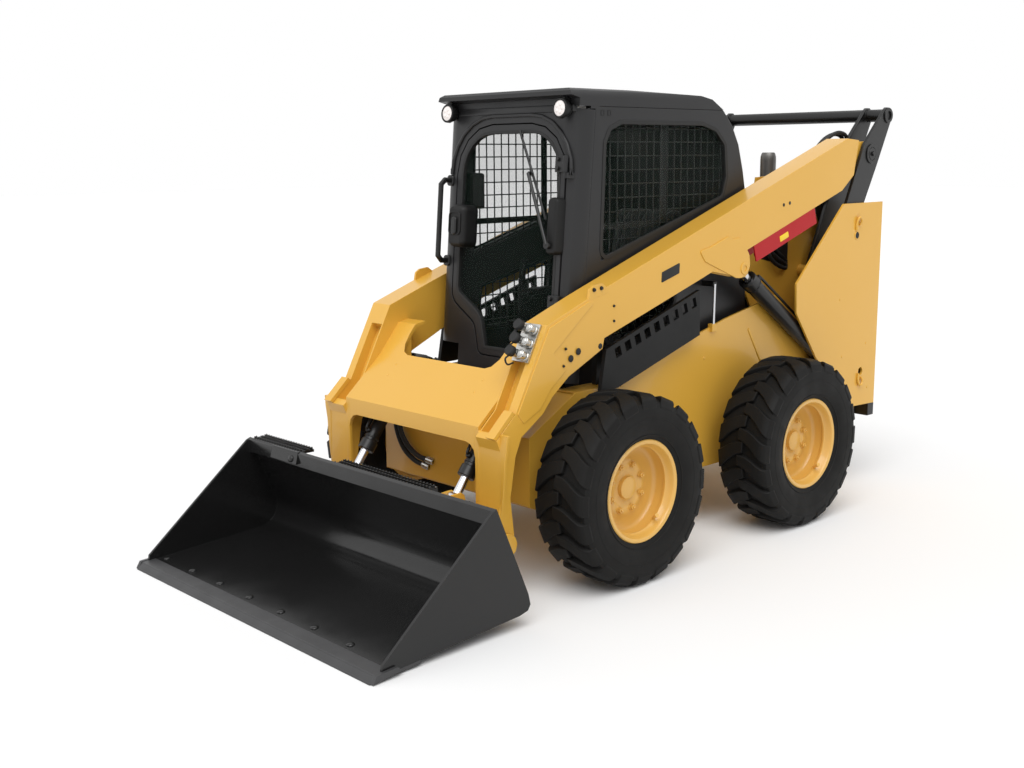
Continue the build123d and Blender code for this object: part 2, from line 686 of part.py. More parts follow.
def make_coupler():
    """Tilting attachment frame: plate against the bucket's back, with pin and rod ears."""
    front = BUCKET_SHEET / 2
    back = front + COUPLER_PLATE
    outline = [
        back_point(COUPLER_LOW, front),
        back_point(COUPLER_HIGH, front),
        back_point(COUPLER_HIGH, back),
        back_point(COUPLER_LOW, back),
    ]
    coupler = plate(outline, -COUPLER_HALF_WIDTH, COUPLER_HALF_WIDTH)
    seat = back - 8
    low, high = back_point(COUPLER_LOW + 30, seat), back_point(COUPLER_LOW + 210, seat)
    ears = Part()
    for y_low in (ARM_INNER_Y - SIDE_GAP - COUPLER_EAR, ARM_OUTER_Y + SIDE_GAP):
        ears += strap(y_low, y_low + COUPLER_EAR, (BUCKET_PIN, 52), (low, 8), (high, 8))
    ears += pin(BUCKET_PIN, BUCKET_PIN_RADIUS, ARM_INNER_Y - SIDE_GAP - COUPLER_EAR,
                ARM_OUTER_Y + SIDE_GAP + COUPLER_EAR)
    low, high = back_point(COUPLER_HIGH - 190, seat), back_point(COUPLER_HIGH - 10, seat)
    half = TILT_EYE_WIDTH / 2 + PIN_END_GAP
    for y_low in (TILT_Y - half - EAR_PLATE, TILT_Y + half):
        ears += strap(y_low, y_low + EAR_PLATE, (TILT_HEAD, 34), (low, 8), (high, 8))
    return coupler + [ears, mirrored(ears)]


def make_bucket():
    """Bucket shell: rolled floor and back, straight side plates, lip bar and step plate."""
    inside = BUCKET_HALF_WIDTH - BUCKET_SHEET
    shell = bent_sheet([BUCKET_EDGE, BUCKET_HEEL, BUCKET_LIP], BUCKET_SHEET, -inside, inside, HEEL_RADIUS)
    cheek = [
        along(BUCKET_EDGE, BUCKET_HEEL, 30, BUCKET_SHEET / 2),
        along(BUCKET_HEEL, BUCKET_EDGE, 70, -BUCKET_SHEET / 2),
        along(BUCKET_HEEL, BUCKET_EDGE, 26, 2),
        along(BUCKET_HEEL, BUCKET_LIP, 26, -2),
        along(BUCKET_HEEL, BUCKET_LIP, 70, BUCKET_SHEET / 2),
        along(BUCKET_LIP, BUCKET_HEEL, 0, -BUCKET_SHEET / 2),
        along(BUCKET_LIP, BUCKET_HEEL, 0, 20),
        (BUCKET_EDGE[0] - 36, BUCKET_EDGE[1] + 34),
    ]
    side = plate(cheek, inside, BUCKET_HALF_WIDTH)
    lip_bar = [
        along(BUCKET_LIP, BUCKET_HEEL, 0, 0),
        along(BUCKET_LIP, BUCKET_HEEL, 0, 12),
        along(BUCKET_LIP, BUCKET_HEEL, LIP_BAR_HEIGHT, LIP_BAR_DEPTH),
        along(BUCKET_LIP, BUCKET_HEEL, LIP_BAR_HEIGHT + 20, 0),
    ]
    shell += [side, mirrored(side), plate(lip_bar, -inside - 1, inside + 1)]
    step_top = BUCKET_LIP[1] - 10
    step_rear = BUCKET_LIP[0] - STEP_DEPTH
    step = block(step_rear, BUCKET_LIP[0] - 4, *STEP_Y, step_top - BUCKET_SHEET, step_top)
    low, high = back_point(COUPLER_HIGH + 15, 0), back_point(COUPLER_HIGH + 90, 0)
    for y in STEP_Y:
        web = [low, high, (step_rear + 4, step_top - 4), (step_rear + 4, step_top - 24)]
        step += plate(web, y - BUCKET_SHEET / 2, y + BUCKET_SHEET / 2)
    return shell + step


def make_cutting_edge():
    """Bolt-on cutting edge under the front of the bucket's floor."""
    under = BUCKET_SHEET / 2
    edge = [
        along(BUCKET_EDGE, BUCKET_HEEL, EDGE_OVERLAP, under),
        along(BUCKET_EDGE, BUCKET_HEEL, -1, under),
        (EDGE_TIP_X, 4),
        (EDGE_TIP_X, 0),
        (EDGE_TIP_X - 20, 0),
        along(BUCKET_EDGE, BUCKET_HEEL, EDGE_OVERLAP, under + EDGE_THICKNESS),
    ]
    return plate(edge, -BUCKET_HALF_WIDTH, BUCKET_HALF_WIDTH)


def rake_x(z):
    """X of the cab's raked front face at a height."""
    return CAB_FRONT_X - (z - CAB_FRONT_Z) * tan(radians(CAB_RAKE))


def raked(shape):
    """Lean a piece drawn against the plane X = 0 (front face, Z from the ground) onto the cab's front."""
    return Pos(CAB_FRONT_X, 0, CAB_FRONT_Z) * Rot(0, -CAB_RAKE, 0) * Pos(0, 0, -CAB_FRONT_Z) * shape


def front_sheet(points, x_low, x_high, radius=0):
    """A plate cut to a front-view outline (Y, Z), between two X planes."""
    return Pos(x_low, 0, 0) * extrude(Plane.YZ * face_of(points, radius), x_high - x_low, dir=(1, 0, 0))


def door_outline(grow=0):
    """Front-view outline of the door: arched over, and cut away low on its free side to clear the arms."""
    points = [
        (DOOR_LEFT_Y + grow, DOOR_TOP + grow),
        (DOOR_RIGHT_Y - grow, DOOR_TOP + grow),
        (DOOR_RIGHT_Y - grow, DOOR_BOTTOM + 245 - grow),
        (DOOR_RIGHT_Y + 172 - grow, DOOR_BOTTOM + 143 - grow),
        (DOOR_RIGHT_Y + 210 - grow, DOOR_BOTTOM - grow),
        (DOOR_LEFT_Y + grow, DOOR_BOTTOM - grow),
    ]
    arch = DOOR_ARCH_RADIUS + grow
    return rounded(points, [arch, arch, 80 + grow, 80 - grow, 34 + grow, 34 + grow], 4)


def corner_post(radius):
    """Plan-view points (X, Y) of the rounded left front corner, from the side round to the front."""
    centre = (-CAB_CORNER, CAB_HALF_WIDTH - CAB_CORNER)
    turns = [pi / 2 * (1 - i / 4) for i in range(5)]
    return [(centre[0] + radius * cos(t), centre[1] + radius * sin(t)) for t in turns]


def make_front_frame():
    """Cab's front frame: round-cornered pillars, header and sill, with the fixed hinge halves."""
    outer = [(-CAB_CORNER - 15, CAB_HALF_WIDTH)] + corner_post(CAB_CORNER)
    inner = [(-CAB_CORNER - 15, CAB_HALF_WIDTH - CAB_WALL)] + corner_post(CAB_CORNER - CAB_WALL)
    across_front = [(x, -y) for x, y in reversed(outer)] + [(x, -y) for x, y in inner]
    channel = face_of([*outer, *across_front, *reversed(inner)])
    frame = Pos(0, 0, CAB_SILL_Z) * extrude(channel, CAB_TOP - 4 - CAB_SILL_Z)
    frame -= front_sheet(door_outline(DOOR_GAP), -CAB_WALL - 1, 1)
    corner = block(-CAB_CORNER - 40, 1, SILL_HALF_WIDTH, CAB_HALF_WIDTH + 1, CAB_SILL_Z - 1, PILLAR_BOTTOM)
    frame -= mirrored(corner)
    for z in DOOR_HINGES:
        foot = block(-24, DOOR_HINGE_PROUD, DOOR_HINGE_Y - 8, DOOR_HINGE_Y + 20, z - HINGE_LENGTH / 2 - 26,
                     z - HINGE_LENGTH / 2 - 1)
        foot += Pos(DOOR_HINGE_PROUD, DOOR_HINGE_Y, 0) * bar(HINGE_PIN_RADIUS, z - HINGE_LENGTH / 2 - 26,
                                                             z + HINGE_LENGTH / 2 + 2)
        frame += foot
    return raked(frame)


def make_door():
    """Cab door: a thin frame round its pane, with the hinge halves and the latch box."""
    door = front_sheet(door_outline(), -CAB_WALL, 0)
    door -= front_sheet(door_outline(-DOOR_BORDER), -CAB_WALL - 1, 1)
    for z in DOOR_HINGES:
        low, high = z - HINGE_LENGTH / 2, z + HINGE_LENGTH / 2
        leaf = block(-2, DOOR_HINGE_PROUD, DOOR_LEFT_Y - 46, DOOR_HINGE_Y, low, high)
        leaf -= block(-3, 2, DOOR_LEFT_Y, DOOR_HINGE_Y + 20, low - 1, high + 1)
        place = Pos(DOOR_HINGE_PROUD, DOOR_HINGE_Y, 0)
        leaf += place * bar(HINGE_RADIUS, low, high)
        door += leaf - place * hollow(HINGE_PIN_RADIUS, low - 1, high + 1)
    return raked(door)


def make_door_glass():
    """Pane of the cab door."""
    middle = -CAB_WALL / 2
    return raked(front_sheet(door_outline(-DOOR_BORDER - SEAL), middle - GLASS / 2, middle + GLASS / 2))


def level(share):
    """A height at a share of the cab's side, from the deck to the roof."""
    return DECK_Z + share * (CAB_TOP - DECK_Z)


def side_windows():
    """Side-view outlines of the windows in the cab's side: above the arm, and low in front."""
    top = CAB_TOP - 69
    upper = [
        (1057, level(0.457)),
        (1034, top - 86),
        (1002, top - 28),
        (930, top),
        (343, top),
        (240, top - 28),
        (167, top - 95),
        (150, level(0.742)),
        (179, level(0.665)),
    ]
    lower = [
        (1030, level(0.15)),
        (1005, level(0.308)),
        (520, level(0.397)),
        (540, level(0.26)),
        (760, level(0.15)),
    ]
    return upper, lower


def rear_line(inset):
    """Side-view points up the cab's rear, set in from its outer face."""
    line = [
        (CAB_REAR_X, CAB_TOP - 535),
        (-6, CAB_TOP - 381),
        (16, CAB_TOP - 288),
        (56, CAB_TOP - 164),
        (111, CAB_TOP - 73),
    ]
    return [(x + inset, z - inset * 0.4) for x, z in line]


def make_cab_side():
    """Cab's left wall with its windows cut."""
    back = (CAB_CORNER + 15) / cos(radians(CAB_RAKE))
    wall = [
        (rake_x(PILLAR_BOTTOM) - back, PILLAR_BOTTOM),
        (rake_x(CAB_TOP) - back, CAB_TOP),
        (185, CAB_TOP),
        *reversed(rear_line(0)),
        (CAB_REAR_X, DECK_Z),
        (1085, DECK_Z),
        (1085, PILLAR_BOTTOM),
    ]
    side = plate(wall, CAB_HALF_WIDTH - CAB_WALL, CAB_HALF_WIDTH)
    for outline in side_windows():
        side -= plate(outline, CAB_HALF_WIDTH - CAB_WALL - 1, CAB_HALF_WIDTH + 1)
    return side


def make_cab_rear():
    """Cab's rear wall with its window, following the leaned-in top."""
    half = CAB_WALL / 2
    inner = CAB_HALF_WIDTH - CAB_WALL
    line = [(CAB_REAR_X + half, DECK_Z), *rear_line(half)]
    rear = bent_sheet(line, CAB_WALL, -inner, inner)
    low, high = REAR_WINDOW
    inside = CAB_REAR_X + CAB_WALL
    return rear - block(CAB_REAR_X - 1, inside + 1, -REAR_WINDOW_HALF, REAR_WINDOW_HALF, low, high)


def make_cab_roof():
    """Cab roof with its forward visor, rounded down to the rear."""
    top = [
        (rake_x(CAB_TOP), CAB_TOP),
        (rake_x(VISOR_BOTTOM), VISOR_BOTTOM),
        (ROOF_FRONT_X, VISOR_BOTTOM + 12),
        (ROOF_FRONT_X, ROOF_TOP - 12),
        (ROOF_FRONT_X - 14, ROOF_TOP),
        (850, ROOF_TOP),
        (348, ROOF_TOP - 12),
        (274, ROOF_TOP - 27),
        (185, CAB_TOP),
    ]
    roof = plate(top, -CAB_HALF_WIDTH, CAB_HALF_WIDTH)
    edge = [
        (CAB_HALF_WIDTH - 32, ROOF_TOP + 1),
        (CAB_HALF_WIDTH + 1, ROOF_TOP + 1),
        (CAB_HALF_WIDTH + 1, ROOF_TOP - 30),
        (CAB_HALF_WIDTH - 10, ROOF_TOP - 10),
    ]
    trim = front_sheet(edge, 0, ROOF_FRONT_X + 1)
    return roof - [trim, mirrored(trim)]


def make_cab_floor():
    """Cab floor and the bulkhead in front of the engine."""
    floor = block(CAB_REAR_X, FRONT_AXLE_X, -CASE_INNER_Y, CASE_INNER_Y, FLOOR_Z, FLOOR_Z + FRAME_PLATE)
    floor += block(CAB_REAR_X, CAB_REAR_X + FRAME_PLATE, -CASE_INNER_Y, CASE_INNER_Y, FLOOR_Z, DECK_Z)
    return floor


def make_cab_glass():
    """Fixed panes: both sides and the rear."""
    middle = CAB_HALF_WIDTH - CAB_WALL / 2
    panes = Part()
    for outline in side_windows():
        shrink = offset(face_of(outline), -SEAL, kind=Kind.INTERSECTION)
        side = stand_up(shrink, middle - GLASS / 2, middle + GLASS / 2)
        panes += [side, mirrored(side)]
    low, high = REAR_WINDOW
    half = REAR_WINDOW_HALF - SEAL
    return panes + block(CAB_REAR_X + 12, CAB_REAR_X + 12 + GLASS, -half, half, low + SEAL, high - SEAL)


def make_side_cover():
    """Left black cover between the arm and the front wheel, with louvres along its top edge."""
    cover = [(1184, 800), (1150, 984), (496, 1195), (489, 979), (1072, 801)]
    outer = FRAME_HALF_WIDTH + 60
    inner = outer - COVER_THICKNESS
    panel = plate(cover, inner, outer)
    start, end = cover[1], cover[2]
    pitch = (reach(start, end) - 60) / COVER_LOUVRES
    for i in range(COVER_LOUVRES):
        low = 50 + pitch * i
        corners = ((low, 20), (low + pitch * 0.55, 20), (low + pitch * 0.55, 66), (low, 66))
        panel -= plate([along(start, end, d, o) for d, o in corners], inner - 1, outer + 1)
    for x, z in ((495, 1000), (1010, 900)):
        panel += block(x, x + 40, CAB_HALF_WIDTH, inner + 5, z, z + 50)
    return panel


def make_seat_base():
    """Seat pedestal."""
    half = SEAT_HALF_WIDTH - 60
    return block(280, 640, -half, half, FLOOR_Z + FRAME_PLATE, SEAT_Z)


def make_seat_cushion():
    """Seat cushion, plain."""
    cushion = block(250, 740, -SEAT_HALF_WIDTH, SEAT_HALF_WIDTH, SEAT_Z, SEAT_Z + CUSHION_HEIGHT)
    return chamfer(cushion.edges(), 25)


def make_seat_back():
    """Seat back, plain, leaning rearwards."""
    half = SEAT_HALF_WIDTH - 15
    low = SEAT_Z + CUSHION_HEIGHT
    high = low + SEAT_BACK_HEIGHT
    back = plate([(300, low), (390, low), (260, high), (160, high)], -half, half)
    return chamfer(back.edges(), 22)


def make_console():
    """Left console with its arm rest and control stick."""
    inner = CASE_INNER_Y - CONSOLE_WIDTH
    console = block(430, 860, inner, CASE_INNER_Y, FLOOR_Z + FRAME_PLATE, 1000)
    rest = [(470, 1000), (400, 1090), (440, 1130), (760, 1130), (820, 1090), (790, 1000)]
    console += plate(rest, inner + 6, CASE_INNER_Y - 6)
    return console + Pos(800, inner + 50, 0) * bar(24, 1050, 1210)


def make_lamp():
    """Left roof lamp on the header, under the visor."""
    section = [
        (0, 0),
        (LAMP_RADIUS - 16, 0),
        (LAMP_RADIUS, LAMP_DEPTH - 18),
        (LAMP_RADIUS, LAMP_DEPTH),
        (0, LAMP_DEPTH),
    ]
    return raked(Pos(0, LAMP_Y, LAMP_Z) * Rot(0, 0, -90) * turned(section, PIN_FACETS))


def make_handle():
    """Grab handle on the right front pillar."""
    z_low, z_high = HANDLE_Z
    bend = HANDLE_PROUD - 22
    path = [
        (-HANDLE_PROUD, z_low),
        (bend, z_low),
        (HANDLE_PROUD, z_low + 22),
        (HANDLE_PROUD, z_high - 22),
        (bend, z_high),
        (-HANDLE_PROUD, z_high),
    ]
    place = Plane(origin=(0, 55 - CAB_HALF_WIDTH, 0), x_dir=(1, 0, 0), z_dir=(0, -1, 0))
    line = place * Polyline(*path)
    section = Plane(line @ 0, z_dir=line % 0) * RegularPolygon(HANDLE_RADIUS, 8)
    tube = sweep(section, line, transition=Transition.RIGHT)
    behind = -2 * CAB_CORNER
    post = [(behind, -CAB_HALF_WIDTH)] + [(x, -y) for x, y in corner_post(CAB_CORNER)] + [(0, 0), (behind, 0)]
    pillar = Pos(0, 0, z_low - HANDLE_PROUD) * extrude(face_of(post), z_high - z_low + 2 * HANDLE_PROUD)
    return raked(tube - pillar)


def make_engine():
    """Engine and pumps as one block."""
    half = TOWER_INNER_Y - 72
    return block(-820, -140, -half, half, FRAME_BOTTOM + FRAME_PLATE, ENGINE_TOP)


def make_cooling():
    """Radiator and oil cooler above the engine."""
    return block(-960, -420, -TOWER_INNER_Y, TOWER_INNER_Y, TOWER_TOP - 300, TOWER_TOP - 160)


def make_rear_deck():
    """Fixed deck between the cab and the hood, with the hood's hinge lugs."""
    half = TOWER_INNER_Y
    deck = block(HOOD_FRONT_X + 12, CAB_REAR_X - 4, -half, half, TOWER_TOP - TOWER_PLATE, TOWER_TOP)
    for y in (-HOOD_HINGE_Y, HOOD_HINGE_Y):
        deck += block(HOOD_HINGE[0] - 14, HOOD_HINGE[0] + 14, y - 40, y - 20, TOWER_TOP - 1, HOOD_HINGE[1])
        deck += pin(HOOD_HINGE, HINGE_PIN_RADIUS, y - 40, y + 20)
    return deck


def make_hood():
    """Engine hood: a shallow louvred lid hinged at its front edge."""
    rear = FRAME_REAR_X - TOWER_PLATE
    half = HOOD_HALF_WIDTH
    lid = block(rear, HOOD_FRONT_X, -half, half, TOWER_TOP + 2, TOWER_TOP + HOOD_HEIGHT)
    lid = chamfer(lid.edges().group_by(Axis.Z)[-1], 16)
    lid -= block(rear + 12, HOOD_FRONT_X - 12, 12 - half, half - 12, TOWER_TOP, TOWER_TOP + HOOD_HEIGHT - 12)
    top = TOWER_TOP + HOOD_HEIGHT
    for i in range(HOOD_LOUVRES):
        x = HOOD_FRONT_X - 120 - LOUVRE_PITCH * (i + 1)
        lid -= block(x, x + LOUVRE_HEIGHT, 90 - half, half - 90, top - 13, top + 1)
    for y in (-HOOD_HINGE_Y, HOOD_HINGE_Y):
        leaf = block(HOOD_FRONT_X - 4, HOOD_HINGE[0], y - 18, y + 18, HOOD_HINGE[1] - 6, HOOD_HINGE[1] + 6)
        leaf += pin(HOOD_HINGE, HINGE_RADIUS, y - 18, y + 18)
        lid += leaf - bore(HOOD_HINGE, HINGE_PIN_RADIUS, y - 30, y + 30)
    return lid


def make_exhaust():
    """Exhaust outlet standing on the hood, its mouth cut on the slant."""
    base = TOWER_TOP + HOOD_HEIGHT
    stack = bar(44, base, EXHAUST_TOP) - bar(38, base + 100, EXHAUST_TOP + 1)
    cut = [(-60, EXHAUST_TOP - 50), (60, EXHAUST_TOP), (60, EXHAUST_TOP + 60), (-60, EXHAUST_TOP + 60)]
    return Pos(*EXHAUST, 0) * (stack - plate(cut, -60, 60))


def make_rear_door():
    """Rear door with cooling louvres, hinged on the left tower."""
    front = FRAME_REAR_X - TOWER_PLATE - 1
    hinge_x = front - REAR_DOOR_THICKNESS
    inner, outer = -HOOD_HALF_WIDTH, REAR_DOOR_HINGE_Y - 10
    outline = [
        (inner, REAR_DOOR_BOTTOM),
        (outer, REAR_DOOR_BOTTOM),
        (outer, REAR_DOOR_TOP),
        (inner, REAR_DOOR_TOP),
    ]
    door = front_sheet(outline, hinge_x, front, 30)
    for i in range(DOOR_LOUVRES):
        z = REAR_DOOR_BOTTOM + 200 + LOUVRE_PITCH * i
        door -= block(hinge_x - 1, front + 1, inner + 90, outer - 90, z, z + LOUVRE_HEIGHT)
    for z in REAR_DOOR_HINGES:
        low, high = z - HINGE_LENGTH / 2, z + HINGE_LENGTH / 2
        place = Pos(hinge_x - 6, REAR_DOOR_HINGE_Y + 14, 0)
        leaf = block(hinge_x - 6, hinge_x + 6, REAR_DOOR_HINGE_Y - 40, REAR_DOOR_HINGE_Y + 14, low, high)
        leaf += place * bar(HINGE_RADIUS, low, high)
        door += leaf - place * hollow(HINGE_PIN_RADIUS, low - 1, high + 1)
    return door


def make_rear_hinges():
    """Rear door's hinge brackets on the left tower's rear web."""
    web = FRAME_REAR_X - TOWER_PLATE
    hinge_x = web - 1 - REAR_DOOR_THICKNESS - 6
    brackets = Part()
    for z in REAR_DOOR_HINGES:
        low = z - HINGE_LENGTH / 2
        bracket = block(hinge_x - 12, web, REAR_DOOR_HINGE_Y + 6, REAR_DOOR_HINGE_Y + 40, low - 24, low - 1)
        place = Pos(hinge_x, REAR_DOOR_HINGE_Y + 14, 0)
        brackets += bracket + place * bar(HINGE_PIN_RADIUS, low - 20, low + HINGE_LENGTH + 2)
    return brackets


def make_bumper():
    """Rear bumper bar below the door, with the tail lamps' housings."""
    rear = FRAME_REAR_X - TOWER_PLATE
    half = FRAME_HALF_WIDTH + 80
    bumper = block(rear - 60, rear, -half, half, FRAME_BOTTOM + 60, REAR_DOOR_BOTTOM - 10)
    for y in (-half + 30, half - 150):
        bumper += block(rear - 72, rear - 59, y, y + 120, FRAME_BOTTOM + 85, FRAME_BOTTOM + 145)
    return bumper


def make_brace():
    """Red arm brace stowed under the left arm."""
    start, end = (535, 1249), (-655, 1632)
    near, far = 440, 985
    depth, wall = 84, 8
    y_low, y_high = ARM_INNER_Y + 28, ARM_OUTER_Y - 2
    corners = ((near, 0), (far, 0), (far, depth), (near, depth))
    brace = plate([along(start, end, d, o) for d, o in corners], y_low, y_high)
    corners = ((near - 1, wall), (far + 1, wall), (far + 1, 2 * depth), (near - 1, 2 * depth))
    return brace - plate([along(start, end, d, o) for d, o in corners], y_low + wall, y_high - wall)


def export(node, shape):
    """Write one node, moved so that the machine's box is centred on X."""
    export_step(Pos(-CENTRE_X, 0, 0) * shape, os.path.join("parts", node + ".step"))


def build():
    """Make every piece and write it."""
    os.makedirs("parts", exist_ok=True)
    wheels = {"rear": 0, "front": FRONT_AXLE_X}
    for end, axle_x in wheels.items():
        tyre, rim, axle = make_tyre(axle_x), make_rim(axle_x), make_axle(axle_x)
        export(f"tyre_{end}_left", tyre)
        export(f"tyre_{end}_right", mirrored(tyre))
        export(f"rim_{end}_left", rim)
        export(f"rim_{end}_right", mirrored(rim))
        export(f"axles_{end}", pair(axle))
    tower, arm, cab_side = make_tower(), make_arm(), make_cab_side()
    for side, turn in (("left", lambda s: s), ("right", mirrored)):
        export(f"tower_{side}", turn(tower))
        export(f"arm_{side}", turn(arm))
        export(f"cab_side_{side}", turn(cab_side))
    single = {
        "chassis_frame": make_frame(),
        "rear_links": make_rear_links(),
        "arm_crossmember": make_crossmember(),
        "coupler": make_coupler(),
        "bucket_shell": make_bucket(),
        "cutting_edge": make_cutting_edge(),
        "cab_front_frame": make_front_frame(),
        "cab_door": make_door(),
        "door_glass": make_door_glass(),
        "cab_rear": make_cab_rear(),
        "cab_roof": make_cab_roof(),
        "cab_floor": make_cab_floor(),
        "cab_glass": make_cab_glass(),
        "seat_base": make_seat_base(),
        "seat_cushion": make_seat_cushion(),
        "seat_back": make_seat_back(),
        "grab_handle": make_handle(),
        "engine_block": make_engine(),
        "cooling_pack": make_cooling(),
        "rear_deck": make_rear_deck(),
        "engine_hood": make_hood(),
        "exhaust_stack": make_exhaust(),
        "rear_door": make_rear_door(),
        "rear_hinges": make_rear_hinges(),
        "rear_bumper": make_bumper(),
        "lift_brace": make_brace(),
    }
    pairs = {
        "control_links": make_control_link(),
        "lift_barrels": make_lift_barrel(),
        "lift_rods": make_lift_rod(),
        "tilt_barrels": make_tilt_barrel(),
        "tilt_rods": make_tilt_rod(),
        "side_covers": make_side_cover(),
        "consoles": make_console(),
        "roof_lamps": make_lamp(),
    }
    for node, shape in single.items():
        export(node, shape)
    for node, shape in pairs.items():
        export(node, pair(shape))


build()
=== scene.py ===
"""Looks of a wheeled skid steer loader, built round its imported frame.

Lengths are millimetres in the machine's own axes: X forward from the rear axle, Y to the
machine's left, Z up from the ground. Form.piece turns them into metres in the shared frame.
"""

from __future__ import annotations

import json
import logging
import math
from dataclasses import dataclass, field
from enum import Enum
from typing import Callable, Iterable, Sequence

import bmesh
import bpy
from mathutils import Matrix, Vector

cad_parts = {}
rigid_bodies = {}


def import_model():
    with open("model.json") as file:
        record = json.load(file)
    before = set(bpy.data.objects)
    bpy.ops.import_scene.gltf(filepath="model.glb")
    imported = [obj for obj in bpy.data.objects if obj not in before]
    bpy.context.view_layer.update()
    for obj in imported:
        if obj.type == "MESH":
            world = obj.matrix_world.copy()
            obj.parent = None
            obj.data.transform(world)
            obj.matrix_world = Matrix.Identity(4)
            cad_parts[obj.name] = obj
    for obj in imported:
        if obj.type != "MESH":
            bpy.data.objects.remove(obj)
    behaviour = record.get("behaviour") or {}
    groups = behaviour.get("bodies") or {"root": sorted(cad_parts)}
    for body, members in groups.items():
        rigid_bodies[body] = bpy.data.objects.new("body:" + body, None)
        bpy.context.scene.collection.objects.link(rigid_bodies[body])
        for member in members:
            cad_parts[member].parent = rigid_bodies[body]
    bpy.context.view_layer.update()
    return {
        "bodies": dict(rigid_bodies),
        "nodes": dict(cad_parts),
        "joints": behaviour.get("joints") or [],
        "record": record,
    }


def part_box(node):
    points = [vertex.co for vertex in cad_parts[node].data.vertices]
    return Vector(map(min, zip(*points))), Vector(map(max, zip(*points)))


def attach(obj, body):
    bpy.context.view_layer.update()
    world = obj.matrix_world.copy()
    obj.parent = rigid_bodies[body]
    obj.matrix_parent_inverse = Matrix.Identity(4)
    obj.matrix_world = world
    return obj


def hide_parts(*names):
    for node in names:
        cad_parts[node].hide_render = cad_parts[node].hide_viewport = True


log = logging.getLogger("loader")

MM = 0.001
Point2 = tuple[float, float]
Point3 = tuple[float, float, float]
Spot = Vector | Point3


class Side(Enum):
    """Side of the machine, valued by the way that Y runs outwards on it."""

    LEFT = 1
    RIGHT = -1

    @property
    def label(self) -> str:
        """Side, as the names of nodes and pieces have it."""
        return self.name.lower()


class End(Enum):
    """End of the machine, as the names of nodes and pieces have it."""

    FRONT = "front"
    REAR = "rear"


# Ways that Y runs outwards, left first, for what is the same on both sides.
OUTWARDS = tuple(side.value for side in Side)


def linear(code: str) -> tuple[float, float, float, float]:
    """Turn an sRGB hex colour into linear light.

    Args:
        code: Colour such as "#E2AC46".

    Returns:
        Red, green, blue and alpha, ready for a colour socket.
    """
    parts = [int(code[i:i + 2], 16) / 255 for i in (1, 3, 5)]
    made = [c / 12.92 if c <= 0.04045 else ((c + 0.055) / 1.055) ** 2.4 for c in parts]
    return (made[0], made[1], made[2], 1.0)


def per_metre(size: float) -> float:
    """Texture scale whose features are about size millimetres across."""
    return 1 / (size * MM)


def add_node(tree: bpy.types.NodeTree, kind: str, inputs: dict | None = None,
             **settings: object) -> bpy.types.Node:
    """Add a node to a material or world.

    Args:
        tree: Node tree to add to.
        kind: Blender's name of the node type.
        inputs: Socket name or number to a value, or to the socket that feeds it.
        **settings: Properties of the node.

    Returns:
        The new node.
    """
    node = tree.nodes.new(kind)
    for name, value in settings.items():
        setattr(node, name, value)
    for socket, value in (inputs or {}).items():
        if isinstance(value, bpy.types.NodeSocket):
            tree.links.new(value, node.inputs[socket])
        else:
            node.inputs[socket].default_value = value
    return node


class Surface(Enum):
    """How a surface was made, which sets its fine relief."""

    SPRAYED = "sprayed"
    MOULDED = "moulded"
    BRUSHED = "brushed"
    ROLLED = "rolled"
    VULCANISED = "vulcanised"
    WOVEN = "woven"
    POLISHED = "polished"


